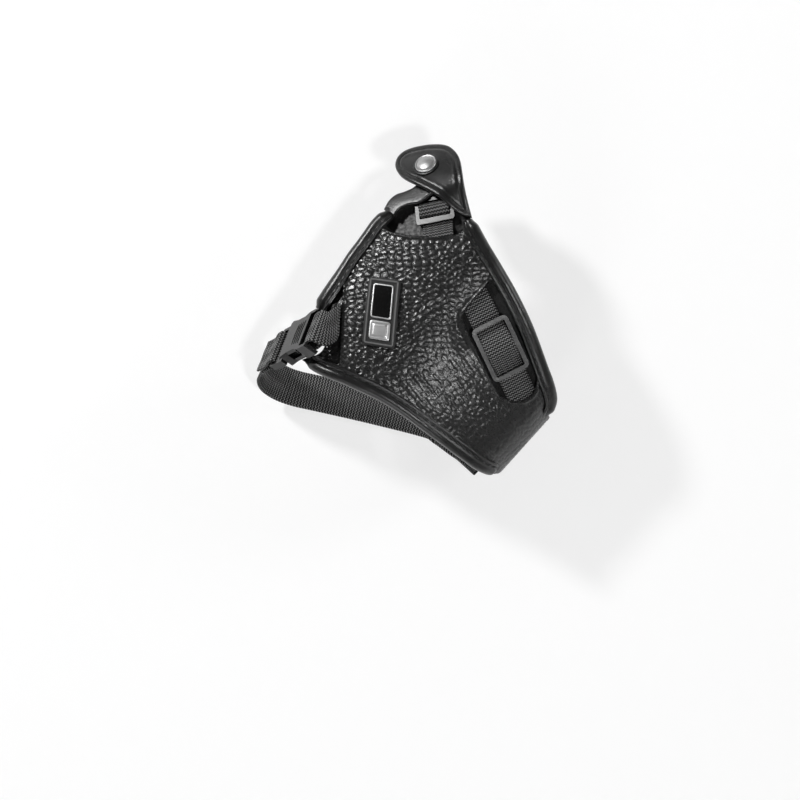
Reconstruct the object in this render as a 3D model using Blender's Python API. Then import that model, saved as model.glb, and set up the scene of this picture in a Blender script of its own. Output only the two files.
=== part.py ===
# Camera hand grip strap: an arched leather pad with webbing, sliders, a snap collar,
# a side-release buckle on a wrist strap and a small plate for the camera's tripod socket.
# It lies in the shape that it has when worn, its pad up and its wrist loop closed below.
# Lengths are in metres. Outlines in millimetres are multiplied by MM where they are used.
import math

import bpy
import bmesh
from mathutils import Matrix, Vector
from mathutils.geometry import delaunay_2d_cdt

MM = 0.001
GAP = 0.0003                 # between pieces that touch

# Section across the hand: thumb side arc, back of the hand, little-finger side arc
ARM_ANGLE = math.radians(48.0)   # line of the forearm, from +X
THUMB_SIDE_RADIUS = 0.075
BACK_RADIUS = 0.100
SIDE_RADIUS = 0.020
HALF_WIDTH = 0.055           # crown line to the little-finger side
COLLAR_START = 0.0433        # +Y of the crown: the collar falls away towards the camera
COLLAR_RADIUS = 0.036
BUCKLE_DIP_START = 0.0380    # -X of the crown: the pad's end turns down to the buckle
BUCKLE_DIP_RADIUS = 0.019

# Layers of the pad, from the hand outwards
LINING_THICK = 0.0008
FOAM_THICK = 0.0016
WEBBING_THICK = 0.0012
COVER_THICK = 0.0012
PANEL_THICK = 0.0012
BINDING_THICK = 0.0007
BINDING_CLEAR = 0.0005       # between the pad and the leather folded over its edge
BINDING_WIDTH = 0.005
LATTICE = 0.0025             # spacing of the points inside a sheet
EDGE_STEP = 0.003            # spacing of the points along an edge

# Webbing, its sliders and the lug loop
GRIP_WEBBING_WIDTH = 0.012
GRIP_WEBBING_HEAD = 0.036    # slider centre to the sewn end under the cover
GRIP_WEBBING_STRAIGHT = 0.033
GRIP_WEBBING_TURN_RADIUS = 0.060
GRIP_SLIDER_LENGTH = 0.024
GRIP_SLIDER_BAR = 0.0017
SLIDER_THICK = 0.0015
SLIDER_CENTRE_BAR = 0.0025
SLIDER_SIDE_CLEAR = 0.0003
WINDOW_CLEAR = 0.0007        # between the slider and the opening in the cover
LUG_WEBBING_WIDTH = 0.0125
LUG_SLIDER_LENGTH = 0.0115
LUG_SLIDER_BAR = 0.0021
LUG_SLIDER_SIDE = 0.0014     # end bars, beside the webbing
LUG_SLIDER_CENTRE_BAR = 0.0014
LUG_TAIL = 0.014             # front bar of the lug slider to the sewn tail
LUG_REACH = 0.030            # front bar of the lug slider to the lug eye
LUG_EYE_RADIUS = 0.0024

# Collar and snap
COLLAR_THICK = 0.0015
COLLAR_CLEAR = 0.0008        # flat lug slider to the curved tongue
FLAP_THICK = 0.0020
SNAP_RADIUS = 0.0045
SNAP_STEM_RADIUS = 0.0016
SNAP_PLATE_THICK = 0.0006

# Badge
BADGE_LENGTH = 0.027
BADGE_WIDTH = 0.0126
BADGE_THICK = 0.0012
BADGE_RIM = 0.0026           # rubber left bare round the plates
BADGE_UPPER_LENGTH = 0.0135
BADGE_PLATE_GAP = 0.0010
BADGE_PLATE_THICK = 0.0005

# Side-release buckle, along its own X from the pad outwards
BUCKLE_ORIGIN = Vector((-0.0482, -0.0048, 0.0045))
BUCKLE_RUN = Vector((-0.58, -0.27, -0.77))
BUCKLE_WIDE = Vector((-0.30, -0.81, 0.50))
BUCKLE_WIDTH = 0.019
SOCKET_LENGTH = 0.0195
SOCKET_THICK = 0.0066
SOCKET_WALL = 0.0013
SOCKET_BAR = 0.0020
BUCKLE_SLOT = 0.0034
CLIP_THICK = 0.0030
CLIP_BASE = 0.0095
CLIP_INSERT = 0.0120         # how far the prongs reach into the socket
PRONG_WIDTH = 0.0026
BAR_RELIEF = 0.0019          # each side of the socket's webbing bar
BUCKLE_WEBBING_WIDTH = 0.0150
BUCKLE_WEBBING_PLACE = 0.0243    # along the cover's cut edge
RETURN_ARCH = 1.15           # height of the return run over the first, in webbing spacings
RETURN_SHIFT = 0.0017
WRIST_WEBBING_WIDTH = 0.0150
WRIST_SEAM = -30.0           # along the arm, in millimetres
WRIST_ROUTE = [(-0.0715, -0.0186, -0.0340), (-0.0700, -0.0224, -0.0430), (-0.0650, -0.0258, -0.0488),
               (-0.0585, -0.0281, -0.0510), (-0.0500, -0.0300, -0.0515), (-0.0280, -0.0350, -0.0515)]

# Plate for the tripod socket
PLATE_LENGTH = 0.046
PLATE_WIDTH = 0.029
PLATE_THICK = 0.0050
PLATE_CORNER = 0.004
PLATE_BAR = 0.0040
PLATE_SLOT = 0.0036
PLATE_SLOT_SIDE = 0.0009     # slot's end to the webbing's edge
PLATE_PAD_THICK = 0.0015
PLATE_REACH = 0.0080         # bottom of the side arc to the plate's edge
SCREW_RADIUS = 0.00317       # 1/4-20 camera thread
SCREW_REACH = 0.0050         # thread above the plate's pad
SCREW_HEAD_RADIUS = 0.0075
SCREW_HEAD_THICK = 0.0022
SCREW_SLOT = 0.0014

# Heights of the layers above the lining's inner face
FOAM_LOW = LINING_THICK + GAP
FOAM_HIGH = FOAM_LOW + FOAM_THICK
STRAP_LOW = FOAM_HIGH + GAP
STRAP_HIGH = STRAP_LOW + WEBBING_THICK
PANEL_HIGH = STRAP_LOW + PANEL_THICK
COVER_LOW = max(STRAP_HIGH, PANEL_HIGH) + GAP
COVER_HIGH = COVER_LOW + COVER_THICK
STRAP_MIDDLE = (STRAP_LOW + STRAP_HIGH) / 2
LUG_MIDDLE = LINING_THICK + GAP + WEBBING_THICK / 2
LUG_SLIDER_LOW = LUG_MIDDLE + WEBBING_THICK / 2 + GAP
LUG_HUMP = LUG_SLIDER_LOW + SLIDER_THICK + GAP + WEBBING_THICK / 2
TONGUE_LOW = LUG_SLIDER_LOW + SLIDER_THICK + COLLAR_CLEAR
TONGUE_HIGH = TONGUE_LOW + COLLAR_THICK
FLAP_LOW = TONGUE_HIGH + 2 * SNAP_PLATE_THICK + 4 * GAP

# Flat pattern of the pad in millimetres: across the hand from the crown, along the arm
THUMB_EDGE = [(-45.0, 17.0), (-45.3, 11.5), (-44.2, 3.0), (-43.2, -6.0), (-41.2, -16.0),
              (-38.8, -26.5)]
BUCKLE_EDGE = [(-38.8, -26.5), (-33.5, -27.2), (-24.8, -39.5), (-28.0, -47.6)]
WRIST_EDGE = [(-28.0, -47.6), (-18.5, -46.4), (-8.1, -43.2), (3.3, -39.6), (12.2, -37.9),
              (21.8, -36.9), (31.6, -36.0), (41.7, -35.1), (51.6, -34.0), (60.0, -31.5)]
WRAP_EDGE = [(60.0, -31.5), (72.0, -26.5), (84.0, -18.5)]
WRAP_END = [(84.0, -18.5), (84.0, 0.5)]
WRAP_SIDE = [(84.0, 0.5), (72.0, 0.6), (61.6, 1.0)]
KNUCKLE_EDGE = [(61.6, 1.0), (57.0, 7.0), (48.8, 11.8), (39.3, 16.6), (27.6, 22.3),
                (15.5, 27.2), (4.9, 30.8), (-5.6, 34.2), (-15.7, 37.9)]
COLLAR_EDGE = [(-15.7, 37.9), (-45.0, 17.0)]
COVER_SCOOP = [(-15.0, 37.4), (-15.9, 30.6), (-18.8, 26.3), (-24.0, 21.0), (-31.1, 15.6),
               (-37.7, 12.6), (-44.6, 12.0)]
COVER_CUT = [(-42.8, -8.4), (-12.5, -44.7)]
PANEL_CUT = [(-6.4, -42.7), (-39.0, -4.0), (-43.8, -0.5)]
TONGUE_OUTER = [(-45.6, 18.0), (-46.4, 22.0), (-45.6, 25.5), (-43.5, 28.6), (-41.5, 33.0),
                (-42.5, 39.5), (-40.6, 44.6)]
TONGUE_TIP = [(-40.6, 44.6), (-36.6, 44.0), (-34.6, 39.8), (-33.8, 36.0)]
TONGUE_INNER = [(-33.8, 36.0), (-35.4, 29.4), (-38.6, 25.6), (-40.2, 21.8), (-39.6, 18.2)]
FLAP_LOWER = [(-16.4, 38.6), (-20.6, 36.6), (-28.9, 35.6), (-36.5, 33.6), (-43.1, 31.6),
              (-47.4, 31.2), (-51.2, 32.4), (-53.2, 35.6), (-52.4, 39.4), (-49.1, 43.6),
              (-44.5, 47.8), (-39.8, 50.8), (-35.8, 51.5), (-32.2, 50.7), (-28.6, 48.2),
              (-22.4, 43.0), (-16.4, 38.6)]
SNAP_PLACE = (-40.4, 40.4)
GRIP_SLIDER_PLACE = (25.1, 7.4)
GRIP_DIRECTION = math.radians(-21.6)
LUG_BAR_PLACE = (-26.7, 28.6)
LUG_DIRECTION = math.radians(140.2)
BADGE_PLACE = (-17.4, -13.7)
BADGE_DIRECTION = math.radians(-55.1)

# Materials: colour, roughness, metallic
LEATHER = ("pebbled_leather", (0.030, 0.030, 0.031), 0.45, 0.0)
SMOOTH_LEATHER = ("smooth_leather", (0.045, 0.045, 0.047), 0.50, 0.0)
LINING_FABRIC = ("lining_fabric", (0.025, 0.025, 0.026), 0.85, 0.0)
FOAM = ("foam", (0.035, 0.035, 0.036), 0.90, 0.0)
NYLON = ("nylon_webbing", (0.022, 0.022, 0.023), 0.60, 0.0)
PLASTIC = ("buckle_plastic", (0.035, 0.035, 0.037), 0.40, 0.0)
GUNMETAL = ("gunmetal", (0.30, 0.30, 0.31), 0.30, 1.0)
BRIGHT_STEEL = ("bright_steel", (0.75, 0.75, 0.76), 0.20, 1.0)
RUBBER = ("rubber", (0.030, 0.030, 0.031), 0.65, 0.0)
SILVER_PLATE = ("silver_plate", (0.70, 0.70, 0.71), 0.35, 1.0)
ALUMINIUM = ("black_aluminium", (0.040, 0.040, 0.042), 0.45, 1.0)

ACROSS = Vector((math.sin(ARM_ANGLE), -math.cos(ARM_ANGLE), 0.0))
ALONG = Vector((math.cos(ARM_ANGLE), math.sin(ARM_ANGLE), 0.0))

# Angle and lengths where the arcs of the hand section meet
SIDE_START_ANGLE = math.asin((HALF_WIDTH - SIDE_RADIUS) / (BACK_RADIUS - SIDE_RADIUS))
SIDE_START = BACK_RADIUS * SIDE_START_ANGLE
SIDE_LINE = SIDE_START + SIDE_RADIUS * (math.pi / 2 - SIDE_START_ANGLE)
SIDE_END = SIDE_START + SIDE_RADIUS * (math.pi - SIDE_START_ANGLE)
SIDE_CENTRE = (BACK_RADIUS - SIDE_RADIUS) * math.sin(SIDE_START_ANGLE)
SIDE_CENTRE_Z = (BACK_RADIUS - SIDE_RADIUS) * math.cos(SIDE_START_ANGLE) - BACK_RADIUS
TABLE_Z = SIDE_CENTRE_Z - SIDE_RADIUS - STRAP_HIGH


def section(s):
    # Place across and height of the lining's inner face, s along it from the crown
    if s < 0:
        radius = THUMB_SIDE_RADIUS
    elif s < SIDE_START:
        radius = BACK_RADIUS
    elif s < SIDE_END:
        angle = SIDE_START_ANGLE + (s - SIDE_START) / SIDE_RADIUS
        return (SIDE_CENTRE + SIDE_RADIUS * math.sin(angle),
                SIDE_CENTRE_Z + SIDE_RADIUS * math.cos(angle))
    else:
        return SIDE_CENTRE - (s - SIDE_END), SIDE_CENTRE_Z - SIDE_RADIUS
    return radius * math.sin(s / radius), radius * math.cos(s / radius) - radius


def fall(distance, radius):
    # Drop of an arc that starts level, held short of the vertical
    if distance <= 0:
        return 0.0
    run = min(distance, 0.95 * radius)
    return radius - math.sqrt(radius * radius - run * run)


def surface(s, a):
    c, z = section(s)
    point = ACROSS * c + ALONG * a
    if s < SIDE_LINE:
        z -= fall(point.y - COLLAR_START, COLLAR_RADIUS)
        z -= fall(-point.x - BUCKLE_DIP_START, BUCKLE_DIP_RADIUS)
    return Vector((point.x, point.y, z))


def outward(s, a):
    near = 0.0001
    along_s = surface(s + near, a) - surface(s - near, a)
    along_a = surface(s, a + near) - surface(s, a - near)
    return along_s.cross(along_a).normalized()


def skin(s, a, height):
    # Point above the pattern point (s, a), at a height over the lining's inner face
    return surface(s, a) + outward(s, a) * height


def millimetres(points):
    return [Vector((x * MM, y * MM)) for x, y in points]


def curve(points, step=EDGE_STEP):
    # Smooth open curve through the points, with points about a step apart
    fine = []
    for i in range(len(points) - 1):
        before = points[i - 1] if i else points[0] * 2 - points[1]
        after = points[i + 2] if i + 2 < len(points) else points[-1] * 2 - points[-2]
        p, q = points[i], points[i + 1]
        for k in range(12):
            t = k / 12
            fine.append(0.5 * (2 * p + (q - before) * t
                               + (2 * before - 5 * p + 4 * q - after) * t ** 2
                               + (3 * p - before - 3 * q + after) * t ** 3))
    fine.append(points[-1].copy())
    lengths = [0.0]
    for p, q in zip(fine, fine[1:]):
        lengths.append(lengths[-1] + (q - p).length)
    count = max(1, round(lengths[-1] / step))
    result = []
    j = 0
    for k in range(count + 1):
        target = lengths[-1] * k / count
        while j < len(fine) - 2 and lengths[j + 1] < target:
            j += 1
        share = (target - lengths[j]) / (lengths[j + 1] - lengths[j])
        result.append(fine[j].lerp(fine[j + 1], min(1.0, share)))
    return result


def outline(*runs):
    # Closed outline made of runs that meet at corners
    points = []
    for run in runs:
        for point in run:
            if not points or (point - points[-1]).length > 1e-5:
                points.append(point)
    if (points[0] - points[-1]).length < 1e-5:
        points.pop()
    return points


def inside(point, loop):
    hit = False
    for p, q in zip(loop, loop[1:] + loop[:1]):
        if (p.y > point.y) != (q.y > point.y):
            if point.x < p.x + (q.x - p.x) * (point.y - p.y) / (q.y - p.y):
                hit = not hit
    return hit


def lattice(loops, spacing=LATTICE):
    # Points inside a sheet: close together where it bends tightly
    border = loops[0]
    points = []
    low_i = math.floor(min(p.x for p in border) / spacing)
    high_i = math.ceil(max(p.x for p in border) / spacing)
    low_j = math.floor(min(p.y for p in border) / spacing)
    high_j = math.ceil(max(p.y for p in border) / spacing)
    for i in range(low_i, high_i + 1):
        for j in range(low_j, high_j + 1):
            point = Vector((i * spacing, j * spacing))
            flat = surface(point.x, point.y)
            bent = point.x < 0 and (-flat.x > BUCKLE_DIP_START - spacing or flat.y > COLLAR_START - spacing)
            if (i % 2 and point.x < SIDE_START and not bent) or (j % 2 and not bent):
                continue
            if not inside(point, border) or any(inside(point, hole) for hole in loops[1:]):
                continue
            if min((point - p).length for loop in loops for p in loop) > spacing * 0.7:
                points.append(point)
    return points


def add_object(name, bm, material, frame=None):
    bmesh.ops.triangulate(bm, faces=bm.faces[:])
    bmesh.ops.recalc_face_normals(bm, faces=bm.faces[:])
    if bm.calc_volume(signed=True) < 0:
        bmesh.ops.reverse_faces(bm, faces=bm.faces[:])
    mesh = bpy.data.meshes.new(name)
    bm.to_mesh(mesh)
    bm.free()
    slot_name, colour, roughness, metallic = material
    finish = bpy.data.materials.get(slot_name)
    if finish is None:
        finish = bpy.data.materials.new(slot_name)
        finish.use_nodes = True
        shader = finish.node_tree.nodes["Principled BSDF"]
        shader.inputs["Base Color"].default_value = (*colour, 1.0)
        shader.inputs["Roughness"].default_value = roughness
        shader.inputs["Metallic"].default_value = metallic
    mesh.materials.append(finish)
    mesh.shade_smooth()
    mesh.set_sharp_from_angle(angle=math.radians(35))
    obj = bpy.data.objects.new(name, mesh)
    bpy.context.scene.collection.objects.link(obj)
    if frame:
        obj.matrix_world = frame
    return obj


def regions(faces, walls):
    # Groups of faces that meet across edges which aren't walls
    by_edge = {}
    for k, face in enumerate(faces):
        for edge in zip(face, face[1:] + face[:1]):
            by_edge.setdefault(frozenset(edge), []).append(k)
    left = set(range(len(faces)))
    groups = []
    while left:
        todo = [left.pop()]
        group = []
        while todo:
            k = todo.pop()
            group.append(faces[k])
            for edge in zip(faces[k], faces[k][1:] + faces[k][:1]):
                if frozenset(edge) not in walls:
                    near = left.intersection(by_edge[frozenset(edge)])
                    left -= near
                    todo += near
        groups.append(group)
    return groups


def widest_middle(flat, group):
    # Centre of the largest triangle of a group
    def area(face):
        a, b, c = (flat[k] for k in face)
        return abs((b - a).cross(c - a))
    return sum((flat[k] for k in max(group, key=area)), Vector((0, 0))) / 3


def straight(point, height):
    return Vector((point.x, point.y, height))


def panel(name, material, border, low, high, holes=(), inner=(), place=straight, frame=None):
    # A sheet or plate: a flat outline with holes, given thickness by place(point, height)
    loops = [border] + list(holes)
    points = []
    edges = []
    for loop in loops:
        first = len(points)
        points += loop
        edges += [(first + k, first + (k + 1) % len(loop)) for k in range(len(loop))]
    points += list(inner)
    flat, lines, faces, _, line_origins, _ = delaunay_2d_cdt(points, edges, [], 1, 1e-7)
    walls = {frozenset(line) for line, origins in zip(lines, line_origins) if origins}
    faces = [face for region in regions(faces, walls) for face in region
             if not any(inside(widest_middle(flat, region), hole) for hole in holes)]
    bm = bmesh.new()
    top = [bm.verts.new(place(p, high)) for p in flat]
    bottom = [bm.verts.new(place(p, low)) for p in flat]
    directed = set()
    for face in faces:
        directed.update(zip(face, face[1:] + face[:1]))
        bm.faces.new([top[k] for k in face])
        bm.faces.new([bottom[k] for k in reversed(face)])
    for i, j in directed:
        if (j, i) not in directed:
            bm.faces.new((bottom[i], bottom[j], top[j], top[i]))
    loose = [v for v in bm.verts if not v.link_faces]
    bmesh.ops.delete(bm, geom=loose, context="VERTS")
    return add_object(name, bm, material, frame)


def sheet(name, material, border, low, high, holes=(), height_over=None):
    # A panel that follows the hand; height_over raises it by a function of the place
    def place(point, height):
        extra = height_over(point) if height_over else 0.0
        return skin(point.x, point.y, height + extra)
    inner = lattice([border] + list(holes))
    return panel(name, material, border, low, high, holes, inner, place)


def sweep(name, material, rings, rungs=None):
    # A closed solid through rings of points, capped at both ends; rungs pairs a hollow ring's points
    bm = bmesh.new()
    rows = [[bm.verts.new(p) for p in ring] for ring in rings]
    count = len(rings[0])
    for row, following in zip(rows, rows[1:]):
        for k in range(count):
            m = (k + 1) % count
            bm.faces.new((row[k], row[m], following[m], following[k]))
    caps = [range(count)]
    if rungs:
        caps = [list(dict.fromkeys((*near, *reversed(far)))) for near, far in zip(rungs, rungs[1:])]
    for cap in caps:
        bm.faces.new([rows[0][k] for k in reversed(cap)])
        bm.faces.new([rows[-1][k] for k in cap])
    return add_object(name, bm, material)


def tape(name, material, centres, sides, width, thick=WEBBING_THICK, square=True):
    # Webbing along a line of centres, lying across the directions in sides; not square if it leaves askew
    rings = []
    for k, (centre, side) in enumerate(zip(centres, sides)):
        ahead = centres[min(k + 1, len(centres) - 1)] - centres[max(k - 1, 0)]
        skew = ahead.normalized() * side.dot(ahead.normalized()) if square else Vector()
        wide = (side - skew).normalized()
        up = wide.cross(ahead).normalized()
        half, rise = wide * (width / 2), up * (thick / 2)
        rings.append([centre - half - rise, centre - rise, centre + half - rise,
                      centre + half + rise, centre + rise, centre - half + rise])
    return sweep(name, material, rings)


def laid(route, line):
    # Centres and sides of webbing that lies over the hand; line(t) gives pattern point and side
    centres = []
    sides = []
    for t, height in route:
        point, side = line(t)
        near = side * 0.0005
        centres.append(skin(point.x, point.y, height))
        sides.append(skin(point.x + near.x, point.y + near.y, height)
                     - skin(point.x - near.x, point.y - near.y, height))
    return centres, [side.normalized() for side in sides]


def heading(angle):
    return Vector((math.cos(angle), math.sin(angle)))


def tangent_frame(place, direction, height):
    # X along a direction of the pattern, Z out of the pad
    point = Vector(place) * MM
    step = heading(direction) * 0.0002
    ahead = surface(point.x + step.x, point.y + step.y) - surface(point.x - step.x, point.y - step.y)
    up = outward(point.x, point.y)
    along = (ahead - up * ahead.dot(up)).normalized()
    frame = Matrix((along, up.cross(along), up)).transposed().to_4x4()
    frame.translation = skin(point.x, point.y, height)
    return frame


def rounded(length, width, radius, centre=(0.0, 0.0), steps=3):
    # Rounded rectangle, counter-clockwise
    points = []
    for quarter, (sx, sy) in enumerate(((1, 1), (-1, 1), (-1, -1), (1, -1))):
        corner = Vector((centre[0] + sx * (length / 2 - radius),
                         centre[1] + sy * (width / 2 - radius)))
        for k in range(steps + 1):
            points.append(corner + heading((quarter + k / steps) * math.pi / 2) * radius)
    return points


def circle(radius, sides, centre=(0.0, 0.0)):
    return [Vector(centre) + heading(2 * math.pi * k / sides) * radius for k in range(sides)]


def block(name, low, high, frame):
    # Box between two corners, used as a cutter or a blank
    bm = bmesh.new()
    bmesh.ops.create_cube(bm, size=1.0)
    middle = (Vector(low) + Vector(high)) / 2
    size = Vector(high) - Vector(low)
    for vert in bm.verts:
        vert.co = middle + Vector([v * s for v, s in zip(vert.co, size)])
    mesh = bpy.data.meshes.new(name)
    bm.to_mesh(mesh)
    bm.free()
    obj = bpy.data.objects.new(name, mesh)
    bpy.context.scene.collection.objects.link(obj)
    obj.matrix_world = frame
    return obj


def cut(obj, cutter):
    cutter.hide_render = True
    cutter.display_type = "WIRE"
    modifier = obj.modifiers.new(cutter.name, "BOOLEAN")
    modifier.operation = "DIFFERENCE"
    modifier.object = cutter


def turned(name, material, profile, frame, sides=20):
    # Solid of revolution about the frame's Z; the profile starts and ends on the axis
    bm = bmesh.new()
    rings = []
    for radius, z in profile:
        if radius == 0:
            rings.append([bm.verts.new((0, 0, z))])
        else:
            rings.append([bm.verts.new((p.x, p.y, z)) for p in circle(radius, sides)])
    for ring, following in zip(rings, rings[1:]):
        for k in range(sides):
            m = (k + 1) % sides
            corners = [ring[k % len(ring)], ring[m % len(ring)],
                       following[m % len(following)], following[k % len(following)]]
            bm.faces.new(list(dict.fromkeys(corners)))
    return add_object(name, bm, material, frame)


# The pad's layers

def pad_layers():
    thumb, wrist, knuckle = (curve(millimetres(edge)) for edge in (THUMB_EDGE, WRIST_EDGE, KNUCKLE_EDGE))
    buckle, wrap = curve(millimetres(BUCKLE_EDGE)), curve(millimetres(WRAP_EDGE))
    end, side = curve(millimetres(WRAP_END)), curve(millimetres(WRAP_SIDE))
    collar, scoop = curve(millimetres(COLLAR_EDGE)), curve(millimetres(COVER_SCOOP))
    sheet("pad_lining", LINING_FABRIC, outline(thumb, buckle, wrist, wrap, end, side, knuckle, collar),
          0.0, LINING_THICK)
    knuckle_part = [p for p in knuckle if p.y < scoop[0].y - 0.001]
    thumb_part = [p for p in thumb if p.y < scoop[-1].y - 0.001]
    sheet("pad_foam", FOAM, outline(thumb_part, buckle, wrist, wrap, end, side, knuckle_part, scoop),
          FOAM_LOW, FOAM_HIGH)
    cut_start, cut_end = millimetres(COVER_CUT)
    cut_edge = curve([cut_start, cut_end])
    thumb_top = [p for p in thumb_part if p.y > cut_start.y + 0.001]
    wrist_right = [p for p in wrist if p.x > cut_end.x + 0.001]
    cover_border = outline(thumb_top, cut_edge, wrist_right, wrap, end, side, knuckle_part, scoop)
    sheet("pad_cover", LEATHER, cover_border, COVER_LOW, COVER_HIGH, holes=[window(knuckle)])
    hidden = curve(millimetres(PANEL_CUT))
    thumb_low = [p for p in thumb_part if p.y < hidden[-1].y - 0.001]
    wrist_left = [p for p in wrist if p.x < hidden[0].x - 0.001]
    sheet("thumb_panel", LEATHER, outline(thumb_low, buckle, wrist_left, hidden), STRAP_LOW, PANEL_HIGH)


def window(knuckle):
    # Teardrop opening round the grip slider; its far side runs under the knuckle binding
    half_long = GRIP_SLIDER_LENGTH / 2
    half_wide = grip_slider_width() / 2 + WINDOW_CLEAR
    along = heading(GRIP_DIRECTION)
    side = Vector((-along.y, along.x))
    centre = Vector(GRIP_SLIDER_PLACE) * MM
    near_side = [(-half_long - 0.0126, half_wide - 0.001), (-half_long - 0.0062, -half_wide + 0.0020),
                 (-half_long - 0.0005, -half_wide), (half_long + 0.0020, -half_wide),
                 (half_long + 0.0065, -half_wide + 0.0014), (half_long + 0.0100, -half_wide + 0.0045),
                 (half_long + 0.0112, 0.0005), (half_long + 0.0098, 0.0052), (half_long + 0.0050, 0.0088)]
    points = [centre + along * t + side * q for t, q in near_side]
    inset = BINDING_WIDTH - 0.0010
    edge = []
    for before, here, after in zip(knuckle, knuckle[1:], knuckle[2:]):
        inward = (after - before).normalized()
        inset_point = here + Vector((-inward.y, inward.x)) * inset
        reach = (inset_point - centre).dot(along)
        if -half_long - 0.011 < reach < half_long + 0.001:
            edge.append(inset_point)
    return outline(points[:3], curve(points[2:]), edge)


def binding(name, edge):
    # Smooth leather folded over an edge of the pad; the pad lies to the left of the edge
    clear, wall = BINDING_CLEAR, BINDING_THICK
    over, half = COVER_HIGH + clear, COVER_HIGH / 2
    third, most = BINDING_WIDTH * 0.35, BINDING_WIDTH * 0.7
    profile = [(BINDING_WIDTH, over + wall), (most, over + wall), (third, over + wall),
               (0.0004, over + wall), (-clear - wall * 0.7, over - 0.0001),
               (-clear - wall, over - 0.0012), (-clear - wall, half), (-clear - wall, 0.0008),
               (-clear - wall * 0.7, -clear - wall * 0.4), (0.0004, -clear - wall),
               (third, -clear - wall), (most, -clear - wall), (BINDING_WIDTH, -clear - wall),
               (BINDING_WIDTH, -clear), (most, -clear), (third, -clear), (0.0, -clear),
               (-clear, 0.0004), (-clear, half), (-clear, COVER_HIGH - 0.0004), (0.0, over),
               (third, over), (most, over), (BINDING_WIDTH, over)]
    rungs = [(0, 23), (1, 22), (2, 21), (3, 20), (4, 20), (5, 19), (6, 18), (7, 17), (8, 16), (9, 16),
             (10, 15), (11, 14), (12, 13)]
    rings = []
    for k, point in enumerate(edge):
        ahead = (edge[min(k + 1, len(edge) - 1)] - edge[max(k - 1, 0)]).normalized()
        inward = Vector((-ahead.y, ahead.x))
        ring = []
        for q, height in profile:
            spot = point + inward * q
            ring.append(skin(spot.x, spot.y, height))
        rings.append(ring)
    sweep(name, SMOOTH_LEATHER, rings, rungs)


def bindings():
    binding("thumb_binding", curve(millimetres(THUMB_EDGE)))
    binding("wrist_binding", curve(millimetres(WRIST_EDGE))[1:])
    binding("knuckle_binding", curve(millimetres(KNUCKLE_EDGE)))


# Collar: a tongue from the thumb side crosses the lug webbing, and the flap snaps over it

def collar():
    snap = Vector(SNAP_PLACE) * MM
    hole = [p + snap for p in circle(SNAP_STEM_RADIUS + GAP, 10)]
    tongue_border = outline(curve(millimetres(TONGUE_INNER)), curve(millimetres(TONGUE_OUTER)),
                            curve(millimetres(TONGUE_TIP)))
    sheet("collar_tongue", SMOOTH_LEATHER, tongue_border, TONGUE_LOW, TONGUE_HIGH,
          holes=[hole])
    root = Vector(FLAP_LOWER[0]) * MM

    def rise(point):
        share = min(1.0, (point - root).length / 0.014)
        return -(FLAP_LOW - STRAP_LOW) * (1 - share * share * (3 - 2 * share))
    flap_border = outline(curve(millimetres(FLAP_LOWER)))
    sheet("snap_flap", SMOOTH_LEATHER, flap_border, FLAP_LOW, FLAP_LOW + FLAP_THICK,
          holes=[hole], height_over=rise)


def snap():
    stem = SNAP_STEM_RADIUS
    plate = SNAP_PLATE_THICK
    seat = tangent_frame(SNAP_PLACE, 0.0, FLAP_LOW + FLAP_THICK + GAP)
    dome = [(0, 0.0018), (SNAP_RADIUS * 0.45, 0.0017), (SNAP_RADIUS * 0.8, 0.0012), (SNAP_RADIUS, 0.0004),
            (SNAP_RADIUS, GAP), (stem, GAP), (stem, -FLAP_THICK), (0, -FLAP_THICK)]
    turned("snap_cap", BRIGHT_STEEL, dome, seat)
    socket = tangent_frame(SNAP_PLACE, 0.0, FLAP_LOW - GAP - plate)
    turned("snap_socket", BRIGHT_STEEL, [(0, plate), (SNAP_RADIUS * 0.8, plate), (SNAP_RADIUS * 0.8, 0),
                                         (0, 0)], socket)
    stud = tangent_frame(SNAP_PLACE, 0.0, TONGUE_HIGH + GAP)
    turned("snap_stud", BRIGHT_STEEL, [(0, plate), (SNAP_RADIUS * 0.8, plate), (SNAP_RADIUS * 0.8, 0),
                                       (0, 0)], stud)
    rivet = tangent_frame(SNAP_PLACE, 0.0, TONGUE_LOW - 2 * GAP)
    turned("snap_rivet", BRIGHT_STEEL, [(0, COLLAR_THICK), (stem, COLLAR_THICK), (stem, 0),
                                        (SNAP_RADIUS * 0.7, 0), (SNAP_RADIUS * 0.7, -plate),
                                        (0, -plate)], rivet)


# Webbing and sliders

def grip_line(t):
    # Pattern point and side of the grip webbing, t from the slider's centre
    along = heading(GRIP_DIRECTION)
    side = Vector((-along.y, along.x))
    centre = Vector(GRIP_SLIDER_PLACE) * MM
    if t <= GRIP_WEBBING_STRAIGHT:
        return centre + along * t, side
    start = centre + along * GRIP_WEBBING_STRAIGHT
    pivot = start + side * GRIP_WEBBING_TURN_RADIUS
    turn = min(-GRIP_DIRECTION, (t - GRIP_WEBBING_STRAIGHT) / GRIP_WEBBING_TURN_RADIUS)
    side = heading(GRIP_DIRECTION + turn + math.pi / 2)
    past = t - GRIP_WEBBING_STRAIGHT - turn * GRIP_WEBBING_TURN_RADIUS
    return pivot - side * GRIP_WEBBING_TURN_RADIUS + Vector((side.y, -side.x)) * past, side


def lug_line(t):
    # Pattern point and side of the lug webbing, t from the slider's front bar
    along = heading(LUG_DIRECTION)
    return Vector(LUG_BAR_PLACE) * MM + along * t, Vector((-along.y, along.x))


def grip_slider_width():
    return GRIP_WEBBING_WIDTH + 2 * (SLIDER_SIDE_CLEAR + GRIP_SLIDER_BAR)


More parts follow.
